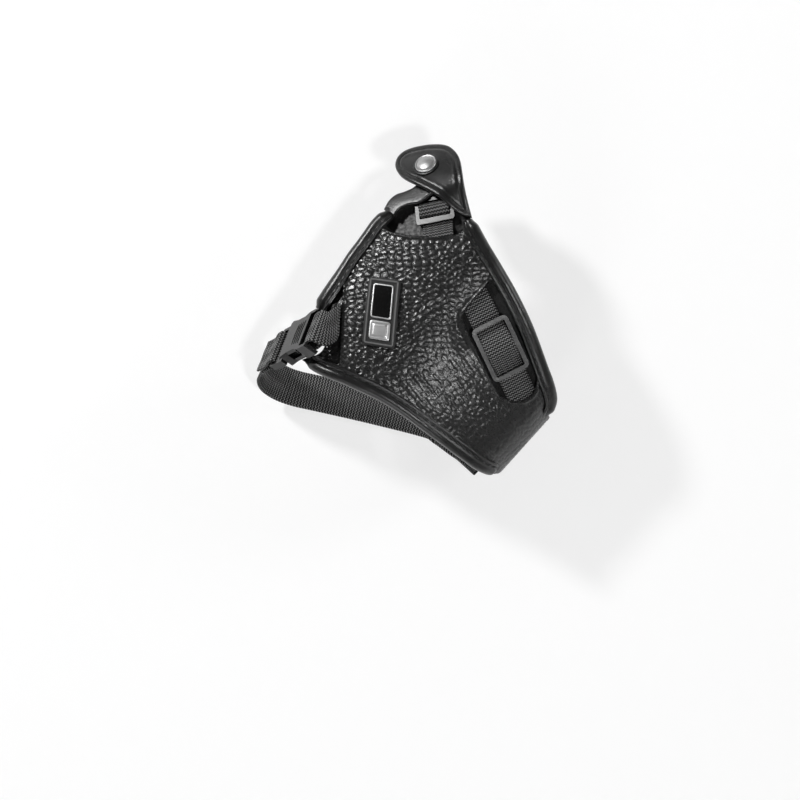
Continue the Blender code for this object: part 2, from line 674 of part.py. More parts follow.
def grip_reach(s):
    # Distance along the grip webbing's last straight stretch at pattern place s
    turn_length = -GRIP_DIRECTION * GRIP_WEBBING_TURN_RADIUS
    after_turn = GRIP_WEBBING_STRAIGHT + turn_length
    return after_turn + s - grip_line(after_turn)[0].x


def route(points, step):
    return [(p.x, p.y) for p in curve([Vector(p) for p in points], step)]


def grip_webbing():
    hump = COVER_LOW + SLIDER_THICK + GAP + WEBBING_THICK / 2
    half = GRIP_SLIDER_LENGTH / 2
    bar = SLIDER_CENTRE_BAR / 2
    edge = grip_reach(SIDE_END + PLATE_REACH)
    slot = edge + PLATE_BAR + WEBBING_THICK / 2 + GAP
    bar_low = STRAP_HIGH - WEBBING_THICK - GAP
    over = plate_bar_top() - GAP - WEBBING_THICK / 2
    head = route([(-GRIP_WEBBING_HEAD, STRAP_MIDDLE), (-half - 0.001, STRAP_MIDDLE)], 0.004)
    top = route([(-half - 0.001, STRAP_MIDDLE), (-half + GRIP_SLIDER_BAR + 0.0006, STRAP_MIDDLE),
                 (-bar - 0.0032, hump - 0.0012), (-bar, hump), (bar, hump), (bar + 0.0032, hump - 0.0012),
                 (half - GRIP_SLIDER_BAR - 0.0006, STRAP_MIDDLE), (half + 0.001, STRAP_MIDDLE)], 0.0012)
    wrap = route([(half + 0.001, STRAP_MIDDLE), (edge - 0.001, STRAP_MIDDLE)], 0.003)
    bend = 0.0007
    loop = route([(edge - 0.001, STRAP_MIDDLE), (slot - bend, STRAP_MIDDLE), (slot, STRAP_MIDDLE - bend),
                  (slot, over + bend), (slot - bend, over), (edge - 0.0002, over)], 0.0008)
    tail_height = bar_low - WEBBING_THICK / 2
    tail = route([(edge - 0.0002, over), (edge - 0.0026, (over + tail_height) / 2),
                  (edge - 0.0050, tail_height), (edge - 0.0125, tail_height)], 0.0014)
    whole = head + top[1:] + wrap[1:] + loop[1:] + tail[1:]
    centres, sides = laid(whole, grip_line)
    tape("grip_webbing", NYLON, centres, sides, GRIP_WEBBING_WIDTH)


def plate_bar_top():
    # Height of the bar's upper side in the webbing's own terms, where down is outward
    return STRAP_HIGH - WEBBING_THICK - GAP - plate_bar_thick()


def plate_bar_thick():
    return PLATE_THICK - 2 * (WEBBING_THICK + GAP) - 0.0002


def lug_webbing():
    front = LUG_SLIDER_BAR / 2
    back = LUG_SLIDER_LENGTH - front
    middle = (LUG_SLIDER_LENGTH - LUG_SLIDER_BAR) / 2
    half_bar = LUG_SLIDER_CENTRE_BAR / 2
    opening = (middle - half_bar) - front
    up, down = front + opening / 2, back - LUG_SLIDER_BAR - opening / 2
    slider_high = LUG_SLIDER_LOW + SLIDER_THICK
    tail = route([(-LUG_TAIL, STRAP_MIDDLE), (-0.0066, STRAP_MIDDLE), (-0.0022, LUG_MIDDLE),
                  (front, LUG_MIDDLE)], 0.0018)
    hump = route([(front, LUG_MIDDLE), (up - 0.0005, LUG_MIDDLE + 0.0002), (up, LUG_SLIDER_LOW),
                  (up + 0.0002, slider_high), (middle - half_bar, LUG_HUMP), (middle + half_bar, LUG_HUMP),
                  (down - 0.0002, slider_high), (down, LUG_SLIDER_LOW), (down + 0.0005, LUG_MIDDLE + 0.0002),
                  (back - LUG_SLIDER_BAR, LUG_MIDDLE), (back + 0.001, LUG_MIDDLE)], 0.0006)
    reach = route([(back + 0.001, LUG_MIDDLE), (LUG_REACH - LUG_EYE_RADIUS, LUG_MIDDLE)], 0.003)
    eye = []
    for k in range(1, 9):
        angle = math.pi * k / 8
        eye.append((LUG_REACH - LUG_EYE_RADIUS + LUG_EYE_RADIUS * math.sin(angle),
                    LUG_MIDDLE - LUG_EYE_RADIUS + LUG_EYE_RADIUS * math.cos(angle)))
    low = LUG_MIDDLE - 2 * LUG_EYE_RADIUS
    back_run = route([(LUG_REACH - LUG_EYE_RADIUS - 0.002, low), (back + 0.004, low)], 0.003)
    centres, sides = laid(tail + hump[1:] + reach[1:] + eye + back_run, lug_line)
    tape("lug_webbing", NYLON, centres, sides, LUG_WEBBING_WIDTH)


def slider(name, material, frame, length, width, bar, side, centre_bar, corner):
    # Tri-glide: an outer frame and a middle bar, with two openings
    opening = (length - 2 * bar - centre_bar) / 2
    inner_width = width - 2 * side
    shift = (centre_bar + opening) / 2
    holes = [rounded(opening, inner_width, 0.0005, (sign * shift, 0.0), 1) for sign in (-1, 1)]
    panel(name, material, rounded(length, width, corner), 0.0, SLIDER_THICK, holes, frame=frame)


def sliders():
    grip = tangent_frame(GRIP_SLIDER_PLACE, GRIP_DIRECTION, COVER_LOW)
    slider("grip_slider", GUNMETAL, grip, GRIP_SLIDER_LENGTH, grip_slider_width(), GRIP_SLIDER_BAR,
           GRIP_SLIDER_BAR, SLIDER_CENTRE_BAR, 0.0022)
    centre_t = (LUG_SLIDER_LENGTH - LUG_SLIDER_BAR) / 2
    spot = lug_line(centre_t)[0] / MM
    lug = tangent_frame(tuple(spot), LUG_DIRECTION, LUG_SLIDER_LOW)
    width = LUG_WEBBING_WIDTH + 2 * (SLIDER_SIDE_CLEAR + LUG_SLIDER_SIDE)
    slider("lug_slider", BRIGHT_STEEL, lug, LUG_SLIDER_LENGTH, width, LUG_SLIDER_BAR,
           LUG_SLIDER_SIDE, LUG_SLIDER_CENTRE_BAR, 0.0010)


# Badge with two blank plates

def badge():
    along = heading(BADGE_DIRECTION)
    side = Vector((-along.y, along.x))
    centre = Vector(BADGE_PLACE) * MM

    def laid_out(points):
        corners = [centre + along * p.x + side * p.y for p in points]
        dense = []
        for p, q in zip(corners, corners[1:] + corners[:1]):
            count = max(1, round((q - p).length / EDGE_STEP))
            dense += [p.lerp(q, k / count) for k in range(count)]
        return dense
    low = COVER_HIGH + GAP
    sheet("badge_base", RUBBER, laid_out(rounded(BADGE_LENGTH, BADGE_WIDTH, 0.0014)), low, low + BADGE_THICK)
    top = low + BADGE_THICK + GAP
    inner_length = BADGE_LENGTH - 2 * BADGE_RIM
    inner_width = BADGE_WIDTH - 2 * BADGE_RIM
    lower_length = inner_length - BADGE_UPPER_LENGTH - BADGE_PLATE_GAP
    upper_centre = -inner_length / 2 + BADGE_UPPER_LENGTH / 2
    lower_centre = inner_length / 2 - lower_length / 2
    for name, length, place in (("badge_upper_plate", BADGE_UPPER_LENGTH, upper_centre),
                                ("badge_lower_plate", lower_length, lower_centre)):
        shape = laid_out(rounded(length, inner_width, 0.0009, (place, 0.0)))
        sheet(name, SILVER_PLATE, shape, top, top + BADGE_PLATE_THICK)


# Buckle and the webbing at both its ends

def buckle_frame():
    run = BUCKLE_RUN.normalized()
    wide = (BUCKLE_WIDE - run * BUCKLE_WIDE.dot(run)).normalized()
    frame = Matrix((run, wide, run.cross(wide))).transposed().to_4x4()
    frame.translation = BUCKLE_ORIGIN
    return frame


def buckle_socket(frame):
    half_w, half_t = BUCKLE_WIDTH / 2, SOCKET_THICK / 2
    waist = BUCKLE_WIDTH * 0.43
    border = [Vector(p) for p in ((0.0, -half_w + 0.0012), (0.0012, -half_w), (0.0065, -half_w),
                                  (0.0095, -waist), (0.0145, -waist), (SOCKET_LENGTH - 0.001, -half_w + 0.0004),
                                  (SOCKET_LENGTH, -half_w + 0.0014), (SOCKET_LENGTH, half_w - 0.0014),
                                  (SOCKET_LENGTH - 0.001, half_w - 0.0004), (0.0145, waist), (0.0095, waist),
                                  (0.0065, half_w), (0.0012, half_w), (0.0, half_w - 0.0012))]
    slot_low, slot_high = SOCKET_BAR, SOCKET_BAR + BUCKLE_SLOT
    half_slot = BUCKLE_WEBBING_WIDTH / 2 + 2 * GAP
    slot = [Vector(p) for p in ((slot_low, -half_slot), (slot_high, -half_slot),
                                (slot_high, half_slot), (slot_low, half_slot))]
    body = panel("buckle_socket", PLASTIC, border, -half_t, half_t, [slot], frame=frame)
    cavity = CLIP_THICK / 2 + GAP
    wall = SOCKET_WALL
    opening = BUCKLE_WIDTH / 2 - wall
    cut(body, block("socket_mouth", (SOCKET_LENGTH - CLIP_INSERT - GAP, -opening + 0.0014, -cavity),
                    (SOCKET_LENGTH + 0.005, opening - 0.0014, cavity), frame))
    for name, sign in (("socket_window_a", 1), ("socket_window_b", -1)):
        sides = sorted((sign * (waist - 0.0025), sign * (half_w + 0.001)))
        cut(body, block(name, (0.0088, sides[0], -cavity + 0.0002), (0.0152, sides[1], cavity - 0.0002), frame))
    for name, low, high in (("bar_relief_front", half_t - BAR_RELIEF, half_t + 0.001),
                            ("bar_relief_back", -half_t - 0.001, -half_t + BAR_RELIEF)):
        cut(body, block(name, (-0.001, -half_slot - GAP, low), (slot_low + GAP, half_slot + GAP, high), frame))


def buckle_clip(frame):
    # Base with a webbing slot, a centre tongue and two prongs that lie in the socket
    start = SOCKET_LENGTH + GAP
    end = start + CLIP_BASE
    tip = SOCKET_LENGTH - CLIP_INSERT + GAP
    half_w = BUCKLE_WIDTH / 2
    reach = half_w - SOCKET_WALL - 0.0014 - GAP
    inner = reach - PRONG_WIDTH
    guide = 0.0016
    border = [Vector(p) for p in ((end, half_w - 0.0015), (end - 0.0015, half_w), (start, half_w),
                                  (start, reach), (tip + 0.001, reach), (tip, reach - 0.001),
                                  (tip, inner), (start - 0.001, inner), (start - 0.001, guide),
                                  (tip + 0.001, guide), (tip + 0.001, -guide), (start - 0.001, -guide),
                                  (start - 0.001, -inner), (tip, -inner), (tip, -reach + 0.001),
                                  (tip + 0.001, -reach), (start, -reach), (start, -half_w),
                                  (end - 0.0015, -half_w), (end, -half_w + 0.0015))]
    half_slot = WRIST_WEBBING_WIDTH / 2 + 2 * GAP
    slot_high = end - SOCKET_BAR
    slot_low = slot_high - BUCKLE_SLOT
    slot = [Vector(p) for p in ((slot_low, -half_slot), (slot_high, -half_slot),
                                (slot_high, half_slot), (slot_low, half_slot))]
    panel("buckle_clip", PLASTIC, border, -CLIP_THICK / 2, CLIP_THICK / 2, [slot], frame=frame)


def twisted(centres, keys):
    # A side for each centre, turned smoothly between the keys (index share, side)
    sides = []
    for k in range(len(centres)):
        share = k / (len(centres) - 1)
        later = next(i for i, key in enumerate(keys) if i and key[0] >= share)
        (start, before), (stop, after) = keys[later - 1], keys[later]
        sides.append(before.lerp(after, (share - start) / (stop - start)).normalized())
    return sides


def buckle_webbing(frame):
    # From the cover's cut edge over the thumb panel, round the socket's bar and back on itself
    edge_start, edge_end = millimetres(COVER_CUT)
    along = (edge_end - edge_start).normalized()
    away = Vector((along.y, -along.x))
    rest = PANEL_HIGH + 2 * GAP + WEBBING_THICK / 2
    start = edge_start + along * BUCKLE_WEBBING_PLACE
    step = along * 0.001
    lying = [start + away * out for out in (0.0009, 0.0018)]
    side = skin(lying[0].x + step.x, lying[0].y + step.y, rest) - skin(lying[0].x, lying[0].y, rest)
    side.normalize()
    points = [skin(spot.x, spot.y, rest) for spot in lying]
    over = SOCKET_THICK / 2 - BAR_RELIEF + GAP + WEBBING_THICK / 2
    past = SOCKET_BAR + GAP + WEBBING_THICK / 2
    loop = [(-0.0012, -over), (past - 0.0006, -over), (past, -over + 0.0008), (past, over - 0.0008),
            (past - 0.0006, over), (-0.0018, over)]
    loop = [frame @ Vector((x, 0.0, z)) for x, z in loop]
    points.append(points[-1].lerp(loop[0], 0.3) + outward(lying[-1].x, lying[-1].y) * 0.0013)
    points += loop
    # The return run arches over the first one, at its thickness and a gap above it
    across = frame.to_3x3() @ Vector((0, 1, 0))
    lift = WEBBING_THICK + 3 * GAP
    rising = (loop[0] - points[1]).normalized()
    away_from_run = rising.cross(side).normalized() * lift
    points.append(loop[0] + Vector((0, 0, 1)) * lift * RETURN_ARCH - across * RETURN_SHIFT)
    points.append(points[1].lerp(loop[0], 0.35) + away_from_run * RETURN_ARCH)
    points.append(skin(start.x, start.y, rest + lift))
    centres = curve(points, 0.0011)
    first, last = (min(range(len(centres)), key=lambda k: (centres[k] - corner).length)
                   / (len(centres) - 1) for corner in (loop[0], loop[-1]))
    sides = twisted(centres, [(0.0, side), (first * 0.4, side), (first, across), (last, across),
                              (1 - (1 - last) * 0.4, side), (1.0, side)])
    tape("buckle_webbing", NYLON, centres, sides, BUCKLE_WEBBING_WIDTH, square=False)


def wrist_webbing(frame):
    # Folded round the clip's bar, down to the table, under the pad and up to its far corner
    end = SOCKET_LENGTH + GAP + CLIP_BASE
    over = CLIP_THICK / 2 + GAP + WEBBING_THICK / 2
    slot = end - SOCKET_BAR - GAP - WEBBING_THICK / 2
    doubled = WEBBING_THICK / 2 + GAP
    fold = [(end + 0.0100, doubled), (end + 0.0045, doubled), (end + 0.0010, over - 0.0003),
            (end - 0.0012, over), (slot + 0.0006, over), (slot, over - 0.0008), (slot, -over + 0.0008),
            (slot + 0.0006, -over), (end - 0.0012, -over), (end + 0.0010, -over + 0.0003),
            (end + 0.0045, -doubled), (end + 0.0085, -doubled)]
    folded = curve([frame @ Vector((x, 0.0, z)) for x, z in fold], 0.0011)
    ground = TABLE_Z + WEBBING_THICK / 2
    route_down = [folded[-1]] + [Vector(p) for p in WRIST_ROUTE]
    for point in route_down[5:]:
        point.z = ground
    inner = -GAP - WEBBING_THICK / 2
    landing = [(SIDE_END + 0.010, -33.0 * MM, STRAP_HIGH - WEBBING_THICK / 2 - 0.0008),
               (SIDE_END + 0.003, -31.4 * MM, 0.0010), (SIDE_END - 0.005, -30.6 * MM, inner)]
    climb = [skin(s, a, height) for s, a, height in landing]
    climb += [skin(SIDE_END - reach, WRIST_SEAM * MM, inner) for reach in (0.010, 0.015, 0.020, 0.026)]
    down = curve(route_down + climb, 0.0030)
    across = frame.to_3x3() @ Vector((0, 1, 0))
    first = twisted(folded, [(0.0, across), (1.0, across)])
    second = twisted(down, [(0.0, across), (0.35, -ALONG + ACROSS * 0.15), (0.65, -ALONG), (1.0, -ALONG)])
    tape("wrist_webbing", NYLON, folded + down[1:], first + second[1:], WRIST_WEBBING_WIDTH)


# Plate for the camera's tripod socket

def plate_frame():
    place = SIDE_CENTRE - PLATE_REACH
    middle = grip_line(grip_reach(SIDE_END + PLATE_REACH))[0].y
    frame = Matrix((-ACROSS, -ALONG, Vector((0, 0, 1)))).transposed().to_4x4()
    frame.translation = ACROSS * place + ALONG * middle + Vector((0, 0, TABLE_Z))
    return frame


def base_plate():
    frame = plate_frame()
    slot_end = PLATE_BAR + PLATE_SLOT
    screw = ((slot_end + PLATE_LENGTH) / 2, 0.0)
    half_slot = GRIP_WEBBING_WIDTH / 2 + PLATE_SLOT_SIDE
    border = rounded(PLATE_LENGTH, PLATE_WIDTH, PLATE_CORNER, (PLATE_LENGTH / 2, 0.0))
    hole = circle(SCREW_RADIUS + GAP, 24, screw)
    slot = [Vector(p) for p in ((PLATE_BAR, -half_slot), (slot_end, -half_slot),
                                (slot_end, half_slot), (PLATE_BAR, half_slot))]
    plate = panel("base_plate", ALUMINIUM, border, 0.0, PLATE_THICK, [hole, slot], frame=frame)
    bar_low = WEBBING_THICK + GAP
    bar_high = bar_low + plate_bar_thick()
    half_pocket = half_slot + GAP
    cut(plate, block("plate_pocket_below", (-0.001, -half_pocket, -0.001),
                     (PLATE_BAR + 0.0005, half_pocket, bar_low), frame))
    cut(plate, block("plate_pocket_above", (-0.001, -half_pocket, bar_high),
                     (PLATE_BAR + 0.0005, half_pocket, PLATE_THICK + 0.001), frame))
    depth = SCREW_HEAD_THICK + 2 * GAP
    centre = frame @ Matrix.Translation((screw[0], screw[1], 0.0))
    recess = turned("screw_recess", ALUMINIUM, [(0, depth), (SCREW_HEAD_RADIUS + GAP, depth),
                                                (SCREW_HEAD_RADIUS + GAP, -0.001), (0, -0.001)], centre, 32)
    cut(plate, recess)
    pad_start = slot_end + 0.0014
    pad_length = PLATE_LENGTH - pad_start - 0.0010
    pad_border = rounded(pad_length, PLATE_WIDTH - 0.0020, PLATE_CORNER - 0.0010,
                         (pad_start + pad_length / 2, 0.0))
    panel("plate_pad", RUBBER, pad_border, PLATE_THICK + GAP, PLATE_THICK + GAP + PLATE_PAD_THICK,
          [circle(SCREW_RADIUS + 2 * GAP, 24, screw)], frame=frame)
    top = PLATE_THICK + GAP + PLATE_PAD_THICK + SCREW_REACH
    head = GAP + SCREW_HEAD_THICK
    profile = [(0, top), (SCREW_RADIUS - 0.0006, top), (SCREW_RADIUS, top - 0.0006), (SCREW_RADIUS, head),
               (SCREW_HEAD_RADIUS, head), (SCREW_HEAD_RADIUS, GAP), (0, GAP)]
    bolt = turned("tripod_screw", BRIGHT_STEEL, profile, centre, 24)
    cut(bolt, block("coin_slot", (-SCREW_HEAD_RADIUS - 0.001, -SCREW_SLOT / 2, -0.001),
                    (SCREW_HEAD_RADIUS + 0.001, SCREW_SLOT / 2, GAP + 0.0011), centre))


def rest_on_origin():
    # Move every piece so that the whole stands on the origin, at the middle of its box
    bpy.context.view_layer.update()
    corners = [obj.matrix_world @ Vector(corner) for obj in bpy.data.objects
               if not obj.hide_render for corner in obj.bound_box]
    low = [min(c[k] for c in corners) for k in range(3)]
    high = [max(c[k] for c in corners) for k in range(3)]
    shift = Vector((-(low[0] + high[0]) / 2, -(low[1] + high[1]) / 2, -low[2]))
    for obj in bpy.data.objects:
        obj.location += shift


def build():
    for obj in list(bpy.data.objects):
        bpy.data.objects.remove(obj, do_unlink=True)
    pad_layers()
    bindings()
    collar()
    snap()
    grip_webbing()
    lug_webbing()
    sliders()
    badge()
    frame = buckle_frame()
    buckle_socket(frame)
    buckle_clip(frame)
    buckle_webbing(frame)
    wrist_webbing(frame)
    base_plate()
    rest_on_origin()


build()
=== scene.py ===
import math

import bmesh
import bpy
import numpy as np
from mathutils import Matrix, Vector
from mathutils.geometry import delaunay_2d_cdt


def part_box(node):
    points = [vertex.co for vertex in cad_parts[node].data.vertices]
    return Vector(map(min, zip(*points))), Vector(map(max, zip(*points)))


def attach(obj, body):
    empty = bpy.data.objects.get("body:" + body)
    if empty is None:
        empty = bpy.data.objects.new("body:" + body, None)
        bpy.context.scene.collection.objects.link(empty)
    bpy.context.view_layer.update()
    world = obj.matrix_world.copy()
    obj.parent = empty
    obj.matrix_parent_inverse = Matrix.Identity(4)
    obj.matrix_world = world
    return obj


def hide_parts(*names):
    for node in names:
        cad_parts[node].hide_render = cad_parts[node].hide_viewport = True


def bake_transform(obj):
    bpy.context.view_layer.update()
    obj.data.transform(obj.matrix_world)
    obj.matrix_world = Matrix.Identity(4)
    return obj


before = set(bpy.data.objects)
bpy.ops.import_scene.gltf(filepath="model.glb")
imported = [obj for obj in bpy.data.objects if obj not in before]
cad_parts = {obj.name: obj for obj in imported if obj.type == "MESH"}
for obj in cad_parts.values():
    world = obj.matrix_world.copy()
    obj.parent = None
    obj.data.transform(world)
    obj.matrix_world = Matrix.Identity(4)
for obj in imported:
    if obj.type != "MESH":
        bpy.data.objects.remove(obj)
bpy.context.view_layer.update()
metres = 0.001      # one millimetre
gap = 0.3           # between pieces that touch

hand = {
    "armAngle": 48.0,
    "thumbSideRadius": 75.0,
    "backRadius": 100.0,
    "sideRadius": 20.0,
    "halfWidth": 55.0,
    "collarStart": 43.3,
    "collarRadius": 36.0,
    "buckleDipStart": 38.0,
    "buckleDipRadius": 19.0,
}
layers = {
    "lining": 0.8,
    "foam": 1.6,
    "webbing": 1.2,
    "leather": 1.2,
    "collar": 1.5,
    "flap": 2.0,
    "slider": 1.5,
    "snapPlate": 0.6,
    "collarClear": 0.8,
}
sinArm, cosArm = math.sin(math.radians(hand["armAngle"])), math.cos(math.radians(hand["armAngle"]))
across = np.array([sinArm, -cosArm, 0.0])
along = np.array([cosArm, sinArm, 0.0])

# Where the side arc starts and ends, and its centre
sideAngle = math.asin((hand["halfWidth"] - hand["sideRadius"]) / (hand["backRadius"] - hand["sideRadius"]))
sideStart = hand["backRadius"] * sideAngle
sideLine = sideStart + hand["sideRadius"] * (math.pi / 2 - sideAngle)
sideEnd = sideStart + hand["sideRadius"] * (math.pi - sideAngle)
sideCentre = (hand["backRadius"] - hand["sideRadius"]) * math.sin(sideAngle)
sideCentreZ = (hand["backRadius"] - hand["sideRadius"]) * math.cos(sideAngle) - hand["backRadius"]

# Heights over the lining's inner face
foamLow = layers["lining"] + gap
foamHigh = foamLow + layers["foam"]
strapLow = foamHigh + gap
strapHigh = strapLow + layers["webbing"]
strapMiddle = (strapLow + strapHigh) / 2
coverLow = strapHigh + gap
coverHigh = coverLow + layers["leather"]
lugMiddle = layers["lining"] + gap + layers["webbing"] / 2
lugSliderLow = lugMiddle + layers["webbing"] / 2 + gap
lugHump = lugSliderLow + layers["slider"] + gap + layers["webbing"] / 2
tongueLow = lugSliderLow + layers["slider"] + layers["collarClear"]
tongueHigh = tongueLow + layers["collar"]
flapLow = tongueHigh + 2 * layers["snapPlate"] + 4 * gap
tableZ = sideCentreZ - hand["sideRadius"] - strapHigh


def section(s):
    radius = np.where(s < 0, hand["thumbSideRadius"], hand["backRadius"])
    c, z = radius * np.sin(s / radius), radius * np.cos(s / radius) - radius
    angle = sideAngle + (s - sideStart) / hand["sideRadius"]
    onSide = (s >= sideStart) & (s < sideEnd)
    c = np.where(onSide, sideCentre + hand["sideRadius"] * np.sin(angle), c)
    z = np.where(onSide, sideCentreZ + hand["sideRadius"] * np.cos(angle), z)
    c = np.where(s >= sideEnd, sideCentre - (s - sideEnd), c)
    z = np.where(s >= sideEnd, sideCentreZ - hand["sideRadius"], z)
    return c, z


def fall(distance, radius):
    run = np.clip(distance, 0, 0.95 * radius)
    return radius - np.sqrt(radius * radius - run * run)


def surface(s, a):
    c, z = section(s)
    x, y = across[0] * c + along[0] * a, across[1] * c + along[1] * a
    drop = fall(y - hand["collarStart"], hand["collarRadius"])
    drop = drop + fall(-x - hand["buckleDipStart"], hand["buckleDipRadius"])
    return np.stack([x, y, z - np.where(s < sideLine, drop, 0)], axis=-1)


def unit(v):
    return v / np.maximum(np.linalg.norm(v, axis=-1, keepdims=True), 1e-12)


def leftOf(ahead):
    # Directions a quarter turn to the left of those along a line
    return np.stack([-ahead[:, 1], ahead[:, 0]], axis=1)


def runOf(line):
    # Length along a line up to each of its points
    return np.concatenate([[0], np.cumsum(np.linalg.norm(np.diff(line, axis=0), axis=1))])


def roundTurn(count):
    # Even angles round a full turn
    return np.linspace(0, 2 * math.pi, count, endpoint=False)


def flatAt(height):
    # The same height all over a sheet
    return lambda flat: np.full(len(flat), height)


def outward(s, a, near=0.1):
    alongS = surface(s + near, a) - surface(s - near, a)
    alongA = surface(s, a + near) - surface(s, a - near)
    return unit(np.cross(alongS, alongA))


def skin(points, height):
    # Points of the pattern, at a height over the lining's inner face
    points = np.asarray(points, float)
    s, a = points[..., 0], points[..., 1]
    return surface(s, a) + outward(s, a) * np.asarray(height)[..., None]


def heading(degrees):
    return np.array([math.cos(math.radians(degrees)), math.sin(math.radians(degrees))])


def left(direction):
    return np.array([-direction[1], direction[0]])


def curve(points, step):
    # Smooth open curve through the points, with points about a step apart
    points = np.asarray(points, float)
    before = np.vstack([2 * points[0] - points[1], points[:-1]])
    after = np.vstack([points[1:], 2 * points[-1] - points[-2]])
    t = np.linspace(0, 1, 24, endpoint=False)[:, None]
    fine = []
    for k in range(len(points) - 1):
        b, p, q, f = before[k], points[k], points[k + 1], after[k + 1]
        fine.append(0.5 * (2 * p + (q - b) * t + (2 * b - 5 * p + 4 * q - f) * t ** 2
                           + (3 * p - b - 3 * q + f) * t ** 3))
    fine = np.vstack(fine + [points[-1:]])
    lengths = runOf(fine)
    places = np.linspace(0, lengths[-1], max(2, round(lengths[-1] / step) + 1))
    return np.stack([np.interp(places, lengths, fine[:, k]) for k in range(fine.shape[1])], axis=1)


def closed(*runs):
    # Closed outline of runs that meet at corners
    points = [runs[0][0]]
    for run in runs:
        points += [p for p in run if np.linalg.norm(p - points[-1]) > 0.01]
    if np.linalg.norm(points[0] - points[-1]) < 0.01:
        points.pop()
    return np.array(points)


def distanceTo(points, line, isClosed=False):
    # Distance of each point to a line of points
    starts = line if isClosed else line[:-1]
    ends = np.roll(line, -1, axis=0) if isClosed else line[1:]
    best = np.full(len(points), 1e9)
    for p, q in zip(starts, ends):
        d = q - p
        t = np.clip(((points - p) @ d) / max(d @ d, 1e-12), 0, 1)
        best = np.minimum(best, np.linalg.norm(points - p - t[:, None] * d, axis=1))
    return best


def isInside(points, loop):
    hit = np.zeros(len(points), bool)
    for p, q in zip(loop, np.roll(loop, -1, axis=0)):
        if p[1] != q[1]:
            crosses = (p[1] > points[:, 1]) != (q[1] > points[:, 1])
            hit ^= crosses & (points[:, 0] < p[0] + (q[0] - p[0]) * (points[:, 1] - p[1]) / (q[1] - p[1]))
    return hit


def smooth(x, low, high):
    t = np.clip((x - low) / (high - low), 0, 1)
    return t * t * (3 - 2 * t)


# Noise over the pattern, worked out in Python so that the leather's relief is in the mesh

def hashed(i, j, seed):
    n = (i.astype(np.int64) * 374761393 + j.astype(np.int64) * 668265263 + seed * 974634777) & 0xFFFFFFFF
    n = ((n ^ (n >> 13)) * 1274126177) & 0xFFFFFFFF
    n = ((n ^ (n >> 16)) * 2246822519) & 0xFFFFFFFF
    return ((n ^ (n >> 13)) & 0xFFFFFF) / float(0x1000000)


def ripple(points, size, seed):
    # Smooth noise from -1 to 1
    p = points / size
    cell = np.floor(p)
    f = p - cell
    f = f * f * (3 - 2 * f)
    i, j = cell[:, 0], cell[:, 1]
    low = hashed(i, j, seed) * (1 - f[:, 0]) + hashed(i + 1, j, seed) * f[:, 0]
    high = hashed(i, j + 1, seed) * (1 - f[:, 0]) + hashed(i + 1, j + 1, seed) * f[:, 0]
    return 2 * (low * (1 - f[:, 1]) + high * f[:, 1]) - 1


def pebbles(points, size, seed):
    # Distance to the crease round each grain, and a number of its own for each grain
    p = points / size
    cell = np.floor(p)
    nearest = np.full(len(p), 9.0)
    second = np.full(len(p), 9.0)
    owner = np.zeros(len(p))
    for di in (-1, 0, 1):
        for dj in (-1, 0, 1):
            i, j = cell[:, 0] + di, cell[:, 1] + dj
            x, y = i + 0.15 + 0.7 * hashed(i, j, seed), j + 0.15 + 0.7 * hashed(i, j, seed + 1)
            d = np.hypot(p[:, 0] - x, p[:, 1] - y)
            closer = d < nearest
            second = np.where(closer, nearest, np.minimum(second, d))
            owner = np.where(closer, hashed(i, j, seed + 2), owner)
            nearest = np.where(closer, d, nearest)
    return (second - nearest) * size, owner


# Outlines of the pattern

pattern = {
    "thumbEdge": [(-45.0, 17.0), (-45.3, 11.5), (-44.2, 3.0), (-43.2, -6.0), (-41.2, -16.0), (-38.8, -26.5)],
    "buckleEdge": [(-38.8, -26.5), (-33.5, -27.2), (-24.8, -39.5), (-28.0, -47.6)],
    "wristEdge": [(-28.0, -47.6), (-18.5, -46.4), (-8.1, -43.2), (3.3, -39.6), (12.2, -37.9),
                  (21.8, -36.9), (31.6, -36.0), (41.7, -35.1), (51.6, -34.0), (60.0, -31.5)],
    "wrapEdge": [(60.0, -31.5), (72.0, -26.5), (84.0, -18.5)],
    "wrapEnd": [(84.0, -18.5), (84.0, 0.5)],
    "wrapSide": [(84.0, 0.5), (72.0, 0.6), (61.6, 1.0)],
    "knuckleEdge": [(61.6, 1.0), (57.0, 7.0), (48.8, 11.8), (39.3, 16.6), (27.6, 22.3),
                    (15.5, 27.2), (4.9, 30.8), (-5.6, 34.2), (-15.7, 37.9)],
    "collarEdge": [(-15.7, 37.9), (-45.0, 17.0)],
    "scoop": [(-15.0, 37.4), (-15.9, 30.6), (-18.8, 26.3), (-24.0, 21.0), (-31.1, 15.6),
              (-37.7, 12.6), (-44.6, 12.0)],
    "cut": [(-42.8, -8.4), (-12.5, -44.7)],
    "panelCut": [(-6.4, -42.7), (-39.0, -4.0), (-43.8, -0.5)],
    "edgeStep": 0.7,
}
gripSlider = {"place": (25.1, 7.4), "direction": -21.6, "length": 24.0, "bar": 1.7, "centreBar": 2.5,
              "webbing": 12.0, "sideClear": 0.3, "windowClear": 0.7}
bindingWidth = 5.0


def edge(name, step=None):
    return curve(pattern[name], step or pattern["edgeStep"])


